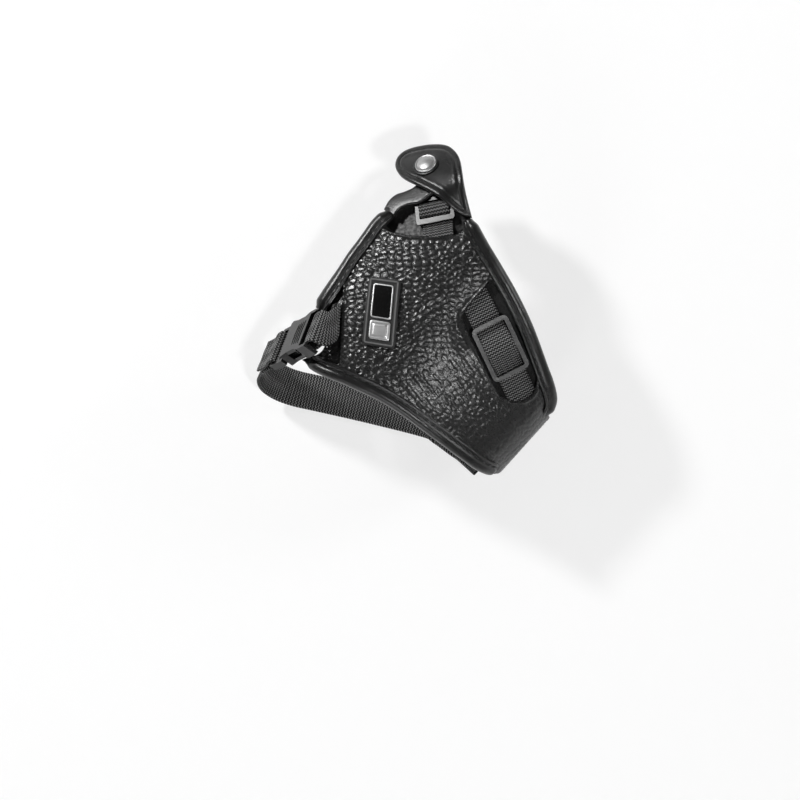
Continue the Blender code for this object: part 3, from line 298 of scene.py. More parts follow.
def windowLine(knuckle):
    # Teardrop opening round the grip slider; its far side runs under the knuckle binding
    half = gripSlider["length"] / 2
    wide = gripSlider["webbing"] / 2 + gripSlider["sideClear"] + gripSlider["bar"] + gripSlider["windowClear"]
    ahead = heading(gripSlider["direction"])
    side = left(ahead)
    centre = np.array(gripSlider["place"])
    near = [(-half - 12.6, wide - 1.0), (-half - 6.2, -wide + 2.0), (-half - 0.5, -wide), (half + 2.0, -wide),
            (half + 6.5, -wide + 1.4), (half + 10.0, -wide + 4.5), (half + 11.2, 0.5), (half + 9.8, 5.2),
            (half + 5.0, 8.8)]
    points = np.array([centre + ahead * t + side * q for t, q in near])
    inset = []
    for k in range(1, len(knuckle) - 1):
        inward = unit(knuckle[k + 1] - knuckle[k - 1])
        spot = knuckle[k] + left(inward) * (bindingWidth - 1.0)
        if -half - 11.0 < (spot - centre) @ ahead < half + 1.0:
            inset.append(spot)
    return closed(curve(points[:3], 0.6), curve(points[2:], 0.6), np.array(inset))


# Meshes

def tangentFrame(place, direction, height):
    # X along a direction of the pattern, Z out of the pad
    place = np.array(place, float)
    step = heading(direction) * 0.2
    ahead = surface(*(place + step)) - surface(*(place - step))
    up = outward(*place)
    ahead = unit(ahead - up * (ahead @ up))
    return np.column_stack([ahead, np.cross(up, ahead), up]), surface(*place) + up * height


def inFrame(points, axes, origin):
    return np.asarray(points, float) @ axes.T + origin


sliderOrigin = tangentFrame(gripSlider["place"], gripSlider["direction"], coverLow + layers["slider"] / 2)[1]
low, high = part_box("grip_slider")
shift = np.array((low + high) / 2) / metres - sliderOrigin    # pattern's crown to the frame


def placed(name, data):
    made = bpy.data.objects.new(name, data)
    bpy.context.scene.collection.objects.link(made)
    return made


def addPiece(name, points, faces, material, body="strap", values=None, sharp=40.0):
    # A mesh from points in millimetres, riding on a body; values are kept on its points
    mesh = bpy.data.meshes.new(name)
    mesh.from_pydata(((np.asarray(points) + shift) * metres).tolist(), [], [list(map(int, f)) for f in faces])
    for key, value in (values or {}).items():
        value = np.asarray(value, float)
        if value.ndim == 2:
            layer = mesh.attributes.new(key, "FLOAT_VECTOR", "POINT")
            layer.data.foreach_set("vector", np.ascontiguousarray(value, np.float32).ravel())
        else:
            layer = mesh.attributes.new(key, "FLOAT", "POINT")
            layer.data.foreach_set("value", value.astype(np.float32))
    mesh.materials.append(material)
    turn = bmesh.new()
    turn.from_mesh(mesh)
    bmesh.ops.recalc_face_normals(turn, faces=turn.faces[:])
    if turn.calc_volume(signed=True) < 0:
        bmesh.ops.reverse_faces(turn, faces=turn.faces[:])
    turn.to_mesh(mesh)
    turn.free()
    mesh.shade_smooth()
    mesh.set_sharp_from_angle(angle=math.radians(sharp))
    piece = placed(name, mesh)
    if body:
        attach(piece, body)
    return piece


def filled(loops, inner):
    # Triangles between an outline, its holes and the points inside it
    points = np.vstack(list(loops) + [inner]) if len(inner) else np.vstack(loops)
    edges, starts, first = [], [], 0
    for loop in loops:
        starts.append(first)
        edges += [(first + k, first + (k + 1) % len(loop)) for k in range(len(loop))]
        first += len(loop)
    flat, _, faces, origins, _, _ = delaunay_2d_cdt([Vector(p) for p in points], edges, [], 1, 1e-6)
    flat = np.array([tuple(p) for p in flat])
    faces = np.array([f for f in faces if len(f) == 3])
    middles = flat[faces].mean(axis=1)
    keep = np.ones(len(faces), bool)
    for hole in loops[1:]:
        keep &= ~isInside(middles, hole)
    place = {}
    for k, names in enumerate(origins):
        for name in names:
            place[name] = k
    rims = [[place[start + k] for k in range(len(loop))] for start, loop in zip(starts, loops)]
    return flat, faces[keep], rims


def within(points, loops):
    # The points inside the outline and outside its holes
    points = points[isInside(points, loops[0])]
    for hole in loops[1:]:
        points = points[~isInside(points, hole)]
    return points


def latticeIn(loops, spacing, clear=0.6):
    # Staggered points inside the outline and outside its holes
    low, high = loops[0].min(axis=0), loops[0].max(axis=0)
    rows = []
    for j, y in enumerate(np.arange(low[1], high[1], spacing * 0.866)):
        x = np.arange(low[0] + (j % 2) * spacing / 2, high[0], spacing)
        rows.append(np.stack([x, np.full(len(x), y)], axis=1))
    points = within(np.vstack(rows), loops)
    for loop in loops:
        points = points[distanceTo(points, loop, True) > spacing * clear]
    return points


def inset(loops, distance):
    # Points that run inside every edge, at a distance from it
    found = []
    for loop in loops:
        ahead = unit(np.roll(loop, -1, axis=0) - np.roll(loop, 1, axis=0))
        for sign in (-1, 1):
            found.append(loop + sign * distance * leftOf(ahead))
    points = within(np.vstack(found), loops)
    nearest = np.min([distanceTo(points, loop, True) for loop in loops], axis=0)
    return points[nearest > distance * 0.97]


def signedArea(loop):
    following = np.roll(loop, -1, axis=0)
    return 0.5 * np.sum(loop[:, 0] * following[:, 1] - following[:, 0] * loop[:, 1])


def addSheet(name, loops, material, topHeight, bottomHeight, spacing, coarse=3.0, values=None, place=skin,
             offsets=(), **rest):
    # A leather or cloth sheet: a fine face outwards, a coarse one inwards and a wall round its edges
    inner = latticeIn(loops, spacing, 0.6 if not offsets else (max(offsets) + 0.3) / spacing)
    inner = np.vstack([inner] + [inset(loops, distance) for distance in offsets])
    top, topFaces, topRims = filled(loops, inner)
    bottom, bottomFaces, bottomRims = filled(loops, latticeIn(loops, coarse))
    shift0 = len(top)
    points = np.vstack([place(top, topHeight(top)), place(bottom, bottomHeight(bottom))])
    faces = [tuple(f) for f in topFaces] + [tuple(reversed(f + shift0)) for f in bottomFaces]
    for k, (loop, upper, lower) in enumerate(zip(loops, topRims, bottomRims)):
        turn = (signedArea(loop) > 0) == (k == 0)
        for m in range(len(upper)):
            n = (m + 1) % len(upper)
            quad = (upper[m], lower[m] + shift0, lower[n] + shift0, upper[n])
            faces.append(quad if turn else tuple(reversed(quad)))
    flat = np.vstack([top, bottom])
    kept = {"cloth": np.column_stack([flat, np.zeros(len(flat))])}
    for key, value in (values or {}).items():
        kept[key] = value(flat)
    return addPiece(name, points, faces, material, values=kept, **rest)


def addSweep(name, rings, material, values=None, hollow=False, **rest):
    # A closed solid through rings of points; a cap is a fan, or quads across a hollow section's wall
    rings = np.asarray(rings)
    count, size = rings.shape[0], rings.shape[1]
    index = np.arange(count * size).reshape(count, size)
    following = np.roll(index, -1, axis=1)
    faces = np.stack([index[:-1], following[:-1], following[1:], index[1:]], axis=-1).reshape(-1, 4)
    faces = [tuple(f) for f in faces]
    points = np.vstack([rings.reshape(-1, 3), rings[0].mean(axis=0), rings[-1].mean(axis=0)])
    start, end = count * size, count * size + 1
    if hollow:
        points = points[:-2]
        for k in range(size // 2 - 1):
            for row, turn in ((index[0], 1), (index[-1], -1)):
                faces.append((row[k], row[k + 1], row[size - 2 - k], row[size - 1 - k])[::turn])
    else:
        for k in range(size):
            faces.append((index[0, (k + 1) % size], index[0, k], start))
            faces.append((index[-1, k], index[-1, (k + 1) % size], end))
    kept = {}
    for key, value in (values or {}).items():
        value = np.asarray(value)
        flat = value.reshape(count * size, *value.shape[2:])
        kept[key] = flat if hollow else np.concatenate([flat, flat[:1], flat[-1:]])
    return addPiece(name, points, faces, material, values=kept, **rest)


# Shader maths: an expression on values adds its Math nodes

def mathsNode(tree, operation, *values):
    made = tree.nodes.new("ShaderNodeMath")
    made.operation = operation
    for slot, value in zip(made.inputs, values):
        if isinstance(value, Value):
            tree.links.new(value.socket, slot)
        else:
            slot.default_value = value
    return Value(tree, made.outputs[0])


class Value:
    def __init__(self, tree, socket):
        self.tree, self.socket = tree, socket

    def __add__(self, other):
        return mathsNode(self.tree, "ADD", self, other)

    __radd__ = __add__

    def __mul__(self, other):
        return mathsNode(self.tree, "MULTIPLY", self, other)

    __rmul__ = __mul__

    def __sub__(self, other):
        return mathsNode(self.tree, "SUBTRACT", self, other)

    def __rsub__(self, other):
        return mathsNode(self.tree, "SUBTRACT", other, self)

    def sine(self):
        return mathsNode(self.tree, "SINE", self)

    def absolute(self):
        return mathsNode(self.tree, "ABSOLUTE", self)


class Finish:
    # A material: uniform values go straight to the shader's sockets
    def __init__(self, name, uniform):
        self.material = bpy.data.materials.new(name)
        self.material.use_nodes = True
        self.tree = self.material.node_tree
        self.shader = self.tree.nodes["Principled BSDF"]
        for key, value in uniform.items():
            self.join(self.shader.inputs[key], value)

    def join(self, slot, value):
        if isinstance(value, Value):
            self.tree.links.new(value.socket, slot)
        else:
            slot.default_value = value

    def node(self, kind, settings, values, output=0):
        made = self.tree.nodes.new(kind)
        for key, value in settings.items():
            if key == "stops":
                ramp = made.color_ramp.elements
                for stop, (place, level) in zip((ramp[0], ramp[1]), value):
                    stop.position, stop.color = place, (level, level, level, 1)
            else:
                setattr(made, key, value)
        for key, value in values.items():
            self.join(made.inputs[key], value)
        return Value(self.tree, made.outputs[output])

    def attribute(self, name, output="Fac"):
        return self.node("ShaderNodeAttribute", {"attribute_name": name}, {}, output)

    def place(self):
        return self.node("ShaderNodeTexCoord", {}, {}, "Object")

    def corners(self, low, high):
        # How far a place lies on an outer edge
        return self.ramp(self.node("ShaderNodeNewGeometry", {}, {}, "Pointiness"), low, high)

    def noise(self, vector, scale, detail=3.0, rough=0.55):
        return self.node("ShaderNodeTexNoise", {}, {"Vector": vector, "Scale": scale, "Detail": detail,
                                                    "Roughness": rough})

    def cells(self, vector, scale, feature="F1"):
        return self.node("ShaderNodeTexVoronoi", {"feature": feature}, {"Vector": vector, "Scale": scale},
                         "Distance")

    def ramp(self, value, low, high):
        return self.node("ShaderNodeValToRGB", {"stops": [(low, 0), (high, 1)]}, {"Fac": value}, "Color")

    def mixed(self, factor, first, second):
        # Colours go through Mix
        made = self.tree.nodes.new("ShaderNodeMix")
        made.data_type = "RGBA"
        for slot, value in ((made.inputs[0], factor), (made.inputs[6], first), (made.inputs[7], second)):
            self.join(slot, value)
        return Value(self.tree, made.outputs[2])

    def bump(self, height, distance):
        # The height is from 0 to 1, and the distance in metres
        return self.node("ShaderNodeBump", {}, {"Height": height, "Distance": distance})

    def give(self, values):
        for key, value in values.items():
            self.join(self.shader.inputs[key], value)
        return self.material


def grey(level):
    return (level, level, level, 1.0)


# Tones of the leather; the lightest tone is painted highlight on the pebble tops
leatherFinish = {
    "dark": 0.003, "light": 0.008, "worn": 0.016, "roughLow": 0.22, "roughHigh": 0.33, "specular": 0.62,
    "poreScale": 1.9, "poreDepth": 0.000014,
}


def pebbledLeather(name="pebbledLeather", gloss=1.0):
    v = leatherFinish
    m = Finish(name, {"Specular IOR Level": v["specular"] * gloss})
    cloth, crease = m.attribute("cloth", "Vector"), m.attribute("crease")
    broad = m.noise(cloth, 0.09, 2.0)
    fine = m.noise(cloth, 2.4, 4.0, 0.6)
    pores = m.cells(cloth, v["poreScale"], "DISTANCE_TO_EDGE")
    dye = m.mixed(m.ramp(broad, 0.35, 0.70), grey(v["dark"]), grey(v["light"]))
    # Patches away from the creases are painted lighter: painted highlight on the pebble tops
    lightened = m.mixed(m.ramp(fine, 0.50, 0.75) * (1 - crease) * 0.6, dye, grey(v["worn"]))
    # Creases are painted darker: painted shade between the pebbles
    colour = m.mixed(crease * 0.8, lightened, grey(v["dark"] * 0.5))
    rough = v["roughLow"] + (v["roughHigh"] - v["roughLow"]) * fine + crease * 0.16 + pores * 0.05
    rough = rough + (1 - gloss) * 0.22
    height = m.ramp(pores, 0.0, 0.16) * 0.7 + fine * 0.5
    return m.give({"Base Color": colour, "Roughness": rough,
                   "Normal": m.bump(height, v["poreDepth"])})


smoothFinish = {"dark": 0.003, "light": 0.007, "rough": 0.20, "specular": 0.50, "grainDepth": 0.000018}


def smoothLeather():
    v = smoothFinish
    m = Finish("smoothLeather", {"Specular IOR Level": v["specular"]})
    cloth = m.attribute("cloth", "Vector")
    broad, fine = m.noise(cloth, 0.16, 3.0), m.noise(cloth, 3.2, 4.0, 0.6)
    pores = m.cells(cloth, 2.8, "DISTANCE_TO_EDGE")
    colour = m.mixed(m.ramp(broad, 0.35, 0.68), grey(v["dark"]), grey(v["light"]))
    rough = v["rough"] + fine * 0.10 + broad * 0.08
    height = m.ramp(pores, 0.0, 0.2) * 0.6 + fine * 0.5
    return m.give({"Base Color": colour, "Roughness": rough, "Normal": m.bump(height, v["grainDepth"])})


weaveFinish = {"dark": 0.0012, "light": 0.26, "rough": 0.42, "ribPitch": 1.20, "yarnPitch": 0.62,
               "yarnDepth": 0.00016, "specular": 0.22}


def nylonWebbing():
    # Cross ribs of the weft with the warp's yarns passing over them in turn
    v = weaveFinish
    m = Finish("nylonWebbing", {"Specular IOR Level": v["specular"], "Sheen Weight": 0.04,
                                "Sheen Roughness": 0.5})
    cloth = m.attribute("cloth", "Vector")
    parts = m.node("ShaderNodeSeparateXYZ", {}, {"Vector": cloth}, "X")
    run = Value(m.tree, parts.socket.node.outputs["Y"])
    yarn = (parts * (math.pi / v["yarnPitch"])).sine()
    rib = (run * (2 * math.pi / v["ribPitch"]) + yarn * 1.1).sine() * 0.5 + 0.5
    strand = yarn.absolute()
    fibre = m.noise(cloth, 5.0, 3.0, 0.7)
    # The colour runs from black to light grey on the crests of the ribs and yarns: painted highlight
    shown = rib * 0.6 + strand * 0.3 + fibre * 0.25
    colour = m.mixed(m.ramp(shown, 0.66, 1.04), grey(v["dark"]), grey(v["light"]))
    rough = v["rough"] + fibre * 0.22 - rib * 0.08
    height = rib * 0.55 + strand * 0.45 + fibre * 0.2
    return m.give({"Base Color": colour, "Roughness": rough, "Normal": m.bump(height, v["yarnDepth"])})


def suedeLining():
    m = Finish("suedeLining", {"Specular IOR Level": 0.15, "Sheen Weight": 0.35, "Sheen Roughness": 0.6})
    cloth = m.attribute("cloth", "Vector")
    nap, broad = m.noise(cloth, 4.5, 5.0, 0.7), m.noise(cloth, 0.12, 3.0)
    dots = m.cells(cloth, 0.9)
    colour = m.mixed(m.ramp(nap * 0.6 + broad * 0.5, 0.35, 0.75), grey(0.010), grey(0.030))
    return m.give({"Base Color": colour, "Roughness": 0.82 + nap * 0.14,
                   "Normal": m.bump(nap * 0.7 + m.ramp(dots, 0.15, 0.3) * 0.3, 0.0001)})


def foamRubber():
    m = Finish("foamRubber", {"Specular IOR Level": 0.2})
    cloth = m.attribute("cloth", "Vector")
    pores, broad = m.cells(cloth, 2.2), m.noise(cloth, 0.3, 3.0)
    # The pits of the pores are painted darker: painted shade in the pores
    colour = m.mixed(m.ramp(pores, 0.05, 0.6), grey(0.006), grey(0.022))
    return m.give({"Base Color": colour, "Roughness": 0.85 + broad * 0.1,
                   "Normal": m.bump(m.ramp(pores, 0.05, 0.5), 0.00015)})


def sewingThread():
    m = Finish("sewingThread", {"Specular IOR Level": 0.3, "Sheen Weight": 0.2})
    place = m.place()
    twist = m.noise(place, 2600.0, 2.0)
    colour = m.mixed(m.ramp(twist, 0.35, 0.65), grey(0.008), grey(0.036))
    return m.give({"Base Color": colour, "Roughness": 0.55 + twist * 0.2,
                   "Normal": m.bump(twist, 0.00008)})


def mouldedRubber(name, dark, light, lightened=0.0):
    m = Finish(name, {"Specular IOR Level": 0.35})
    place = m.place()
    fine, broad = m.noise(place, 1900.0, 4.0, 0.65), m.noise(place, 90.0, 3.0)
    colour = m.mixed(m.ramp(broad, 0.35, 0.7), grey(dark), grey(light))
    # Where the mesh's attribute marks the badge's rim, the colour is painted lighter
    if lightened:
        colour = m.mixed(m.attribute("lightened") * (0.6 + 0.4 * fine), colour, grey(lightened))
    return m.give({"Base Color": colour, "Roughness": 0.48 + fine * 0.2 + broad * 0.06,
                   "Normal": m.bump(fine, 0.00004)})


def mouldedPlastic():
    # Glossy moulding with faint flow marks and handling scuffs
    m = Finish("mouldedPlastic", {"Specular IOR Level": 0.34})
    place = m.place()
    fine, broad = m.noise(place, 1500.0, 4.0, 0.6), m.noise(place, 70.0, 3.0)
    scuffs = m.ramp(m.noise(place, 420.0, 6.0, 0.75), 0.60, 0.78)
    colour = m.mixed(scuffs * 0.5, m.mixed(broad, grey(0.002), grey(0.005)), grey(0.020))
    # Outer edges are painted lighter: painted highlight on the edges
    colour = m.mixed(m.corners(0.55, 0.66) * 0.6, colour, grey(0.020))
    return m.give({"Base Color": colour, "Roughness": 0.10 + fine * 0.06 + scuffs * 0.20,
                   "Normal": m.bump(fine * 0.6 + scuffs * 0.3, 0.00002)})


def metal(name, dark, light, rough, spread, depth=0.000012, worn=None):
    m = Finish(name, {"Metallic": 1.0})
    place = m.place()
    lines = m.node("ShaderNodeMapping", {}, {"Vector": place, "Scale": (300.0, 2600.0, 300.0)})
    brush, broad = m.noise(lines, 1.0, 3.0, 0.6), m.noise(place, 120.0, 4.0)
    wear = m.ramp(m.noise(place, 700.0, 6.0, 0.7), 0.58, 0.80)
    colour = m.mixed(m.ramp(broad * 0.5 + brush * 0.5, 0.3, 0.7), grey(dark), grey(light))
    # With a tone given, outer edges are painted lighter: painted highlight on the edges
    if worn:
        colour = m.mixed(m.corners(0.53, 0.62) * (0.5 + 0.5 * broad), colour, grey(worn))
    return m.give({"Base Color": colour, "Roughness": rough + brush * spread + wear * 0.12,
                   "Normal": m.bump(brush * 0.7 + wear * 0.3, depth)})


def anodised():
    m = Finish("anodisedAluminium", {"Metallic": 0.55})
    place = m.place()
    blast, broad = m.noise(place, 2400.0, 3.0, 0.6), m.noise(place, 60.0, 3.0)
    colour = m.mixed(m.ramp(broad, 0.3, 0.7), grey(0.020), grey(0.034))
    return m.give({"Base Color": colour, "Roughness": 0.42 + blast * 0.14 + broad * 0.05,
                   "Normal": m.bump(blast, 0.00003)})


leatherGrain, smoothGrain = pebbledLeather(), smoothLeather()
innerGrain = pebbledLeather("innerLeather", 0.50)
webbingWeave, suede, foam, thread = nylonWebbing(), suedeLining(), foamRubber(), sewingThread()
rubber = mouldedRubber("mouldedRubber", 0.010, 0.018)
badgeRubber = mouldedRubber("badgeRubber", 0.006, 0.011, lightened=0.19)
plastic = mouldedPlastic()
# Gunmetal with its outer edges painted lighter: painted highlight
gunmetal = metal("satinGunmetal", 0.042, 0.080, 0.13, 0.06, worn=0.25)
# Steel for the lug slider, painted far darker than the bright steel: painted shade, as the slider sits under
# the collar
shadedBarSteel = metal("shadedBarSteel", 0.045, 0.075, 0.20, 0.06, depth=0.000003)
brightSteel = metal("brightSteel", 0.30, 0.42, 0.36, 0.10)
silver = metal("silverFoil", 0.42, 0.54, 0.34, 0.12)
blackAluminium = anodised()
print("finishes made")


# The pad

coverLook = {
    "spacing": 0.43, "coarseGrain": 2.2, "fineGrain": 1.7, "grainDepth": 0.50, "creaseWidth": 0.17,
    "domeReach": 0.52, "pullTurn": -8.0, "pull": (0.60, 1.15), "coarseTurn": 42.0, "coarsePull": (0.68, 1.0),
    "crown": 0.55, "crownReach": 12.0, "lipRise": 0.30, "cutRise": 0.22, "badgeReach": (18.0, 11.0),
    "dimple": [(8.4, -5.8), (4.0, 7.4), 1.25],
    "stretchDepth": 0.34, "stretchSize": (1.7, 9.0), "stretchTurn": 38.0, "seed": 11,
}


def flatPlace(flat):
    # Plan place of pattern points, in millimetres from the crown
    return surface(flat[:, 0], flat[:, 1])[:, :2]


def turnedBy(points, degrees):
    ahead = heading(degrees)
    return np.stack([points @ ahead, points @ left(ahead)], axis=1)


def grain(flat, look):
    # Height of the leather's pebbles from -1 in a crease to 0 on top, and how much each place is crease
    plan = flatPlace(flat)
    bend = np.stack([ripple(flat, 5.0, 31), ripple(flat, 5.0, 37)], axis=1) * 0.55
    coarse, ownerCoarse = pebbles(turnedBy(flat + bend, look["coarseTurn"]) * look["coarsePull"],
                                  look["coarseGrain"], look["seed"])
    fine, ownerFine = pebbles(flat + bend, look["fineGrain"], look["seed"] + 5)
    # Lower on the pad the grain is drawn out along the pull of the webbing
    drawn = turnedBy(flat + bend, look["pullTurn"]) * look["pull"]
    long, ownerLong = pebbles(drawn, look["fineGrain"], look["seed"] + 9)
    share = smooth(plan @ heading(140.0) + 6 * ripple(flat, 14.0, 53), -20.0, 12.0)
    pulled = smooth(-plan[:, 1] + 5 * ripple(flat, 12.0, 57), 0.0, 16.0) * (1 - share)
    weights = (share, 0.55 * (1 - share - pulled), 0.50 * pulled)
    sizes = (look["coarseGrain"], look["fineGrain"], look["fineGrain"])
    top, crease = 0, 0
    for distance, owner, size, weight in zip((coarse, fine, long), (ownerCoarse, ownerFine, ownerLong), sizes,
                                             weights):
        t = np.clip(distance / (look["domeReach"] * size), 0, 1)
        dome = 1 - (1 - t) ** 2.2
        top = top + weight * ((dome - 1) - 0.30 * (1 - owner) * dome)
        crease = crease + weight * (1 - smooth(distance, 0.03 * size, look["creaseWidth"] * size))
    return top, crease


runs = {name: edge(name) for name in pattern if name != "edgeStep"}
knucklePart = runs["knuckleEdge"][runs["knuckleEdge"][:, 1] < runs["scoop"][0, 1] - 1.0]
thumbPart = runs["thumbEdge"][runs["thumbEdge"][:, 1] < runs["scoop"][-1, 1] - 1.0]
window = windowLine(edge("knuckleEdge", 3.0))


def cover():
    look = coverLook
    cutStart, cutEnd = runs["cut"][0], runs["cut"][-1]
    thumbTop = thumbPart[thumbPart[:, 1] > cutStart[1] + 1.0]
    wristRight = runs["wristEdge"][runs["wristEdge"][:, 0] > cutEnd[0] + 1.0]
    border = closed(thumbTop, runs["cut"], wristRight, runs["wrapEdge"], runs["wrapEnd"], runs["wrapSide"],
                    knucklePart, runs["scoop"])

    def edgesFrom(flat):
        # Distances to the window, to the nearer cut edge and to the nearest of them all
        fromWindow = distanceTo(flat, window, True)
        fromCut = np.minimum(distanceTo(flat, runs["cut"]), distanceTo(flat, runs["scoop"]))
        return fromWindow, fromCut, np.minimum(fromWindow, fromCut)

    def top(flat):
        plan = flatPlace(flat)
        fromWindow, fromCut, free = edgesFrom(flat)
        bound = np.min([distanceTo(flat, runs[key]) for key in ("wristEdge", "knuckleEdge", "thumbEdge")],
                       axis=0)
        relief = grain(flat, look)[0]
        smoothed = smooth(free, 0.5, 2.2)
        height = coverHigh + 0.12 + relief * look["grainDepth"] * smoothed
        fromBadge = flat - np.array(badgeLook["place"])
        badge = np.linalg.norm(turnedBy(fromBadge, badgeLook["direction"]) / look["badgeReach"], axis=1)
        crown = smooth(bound, 4.0, look["crownReach"]) * smooth(free, 1.0, 9.0) * smooth(badge, 0.85, 1.5)
        crown = crown * (flat[:, 0] < 62.0)
        height = height + look["crown"] * crown
        centre, size, depth = look["dimple"]
        near = np.linalg.norm((plan - centre) / size, axis=1)
        height = height - depth * np.exp(-near ** 2) * smooth(free, 0.8, 3.0)
        stretch = turnedBy(plan, look["stretchTurn"]) / look["stretchSize"]
        lines = ripple(stretch[:, ::-1], 1.0, 71) + 0.5 * ripple(stretch[:, ::-1], 0.5, 73)
        onTop = 1 - smooth(flat[:, 0], 44.0, 56.0)
        region = smooth(-plan[:, 1], 2.0, 20.0) * smooth(free, 1.0, 5.0) * smooth(badge, 1.0, 1.6) * onTop
        height = height + look["stretchDepth"] * lines * region * 0.5
        folds = np.sin(bound * 1.55 + 0.6 * ripple(flat, 6.0, 79)) * smooth(plan[:, 0], 12.0, 22.0)
        folds = folds * smooth(-plan[:, 1], 22.0, 30.0)
        folds = folds * smooth(bound, 4.0, 6.0) * (1 - smooth(bound, 12.0, 18.0))
        height = height + 0.18 * folds * onTop
        lip = np.exp(-((fromWindow - 0.55) / 0.42) ** 2) * look["lipRise"]
        rim = np.exp(-((fromCut - 0.5) / 0.4) ** 2) * look["cutRise"]
        edgeRound = 0.35 * (1 - smooth(free, 0.0, 0.5))
        return height + lip + rim - edgeRound

    def creaseOf(flat):
        return grain(flat, look)[1] * smooth(edgesFrom(flat)[2], 0.5, 2.2)

    piece = addSheet("leather_cover", [border, window], leatherGrain, top,
                     flatAt(coverLow), look["spacing"],
                     values={"crease": creaseOf})
    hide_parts("pad_cover")


panelLook = dict(coverLook, spacing=0.55, fineGrain=1.3, coarseGrain=1.6, grainDepth=0.40, seed=23)


def thumbPanel():
    look = panelLook
    low = thumbPart[thumbPart[:, 1] < runs["panelCut"][-1, 1] - 1.0]
    wristLeft = runs["wristEdge"][runs["wristEdge"][:, 0] < runs["panelCut"][0, 0] - 1.0]
    border = closed(low, runs["buckleEdge"], wristLeft, runs["panelCut"])

    def top(flat):
        shown = smooth(distanceTo(flat, runs["buckleEdge"]), 0.0, 0.9)
        hidden = smooth(distanceTo(flat, runs["cut"]), 2.0, 3.0)
        relief = grain(flat, look)[0] * look["grainDepth"] * shown
        return strapHigh + 0.05 * hidden + relief - 0.3 * (1 - shown)

    piece = addSheet("leather_panel", [border], leatherGrain, top,
                     flatAt(strapLow), look["spacing"],
                     values={"crease": lambda flat: grain(flat, look)[1]})
    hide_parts("thumb_panel")


def innerLayers():
    border = closed(runs["thumbEdge"], runs["buckleEdge"], runs["wristEdge"], runs["wrapEdge"],
                    runs["wrapEnd"], runs["wrapSide"], runs["knuckleEdge"], runs["collarEdge"])

    def under(flat):
        # The inner side is softly padded between its seams
        free = distanceTo(flat, border, True)
        return -0.28 * smooth(free, 4.5, 9.0) + 0.03 * ripple(flat, 2.0, 91)

    lining = addSheet("suede_lining", [border], suede, flatAt(layers["lining"]), under,
                      1.6, coarse=1.3)
    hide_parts("pad_lining")
    border = closed(thumbPart, runs["buckleEdge"], runs["wristEdge"], runs["wrapEdge"], runs["wrapEnd"],
                    runs["wrapSide"], knucklePart, runs["scoop"])

    def puffed(flat):
        free = distanceTo(flat, border, True)
        return foamHigh - 0.3 * (1 - smooth(free, 0.0, 0.8)) + 0.06 * ripple(flat, 1.6, 93)

    padding = addSheet("foam_padding", [border], foam, puffed,
                       lambda flat: foamLow + 0.15 * (1 - smooth(distanceTo(flat, border, True), 0.0, 0.8)),
                       1.2, coarse=2.4)
    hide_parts("pad_foam")


bindingLook = {
    "step": 0.9, "stitchEvery": 3.1, "stitchLong": 2.3, "threadRadius": 0.24, "stitchLine": 3.25,
    "wrinkle": 0.05, "tuck": (3.5, 0.70, 2.0, coverHigh / 2),
    "threadLift": 0.78,
}


def bindingProfile():
    # Inward distance and height: the outer face round the edge, then the inner face back
    over, clear, wide = coverHigh + 0.5, 0.5, bindingWidth
    outer = [(wide - 0.15, over - 0.10), (wide - 0.08, over + 0.22), (wide - 0.32, over + 0.60),
             (wide - 0.62, over + 0.74), (wide - 0.95, over + 0.62), (3.72, over + 0.34),
             (3.45, over + 0.14), (3.05, over + 0.12), (2.72, over + 0.34), (2.25, over + 0.82),
             (1.5, over + 1.06), (0.7, over + 1.00), (0.0, over + 0.74), (-0.6, over + 0.22),
             (-1.0, over - 0.55), (-1.28, over - 1.7), (-1.34, coverHigh / 2), (-1.24, 1.1), (-1.0, 0.1),
             (-0.6, -0.75), (0.0, -1.12), (1.2, -1.25), (2.6, -1.12), (2.9, -1.05), (3.3, -1.15),
             (4.4, -1.2), (wide, -1.05), (wide + 0.1, -0.75)]
    inner = [(wide - 0.2, over - 0.14), (4.7, over - 0.1), (4.5, over - 0.1), (4.3, over - 0.1),
             (4.0, over - 0.1), (3.7, over - 0.1), (3.4, over - 0.1), (3.05, over - 0.1), (2.7, over),
             (2.2, over), (1.5, over), (0.7, over), (0.1, over - 0.05), (-0.2, over - 0.3),
             (-clear, over - 0.9), (-clear, over - 1.9), (-clear, coverHigh / 2), (-clear, 1.1),
             (-0.4, 0.4), (-0.2, -0.2), (0.1, -0.45), (1.2, -clear), (2.6, -clear), (2.9, -clear),
             (3.3, -clear), (4.3, -clear), (wide - 0.1, -clear), (wide, -0.6)]
    return np.array(outer), np.array(inner)


def longer(line, before, after):
    # The same line, carried straight on at its ends
    first, last = unit(line[0] - line[1]), unit(line[-1] - line[-2])
    starts = [line[0] + first * before * t for t in (1.0, 0.5)] if before else []
    ends = [line[-1] + last * after * t for t in (0.5, 1.0)] if after else []
    return np.array([*starts, *line, *ends])


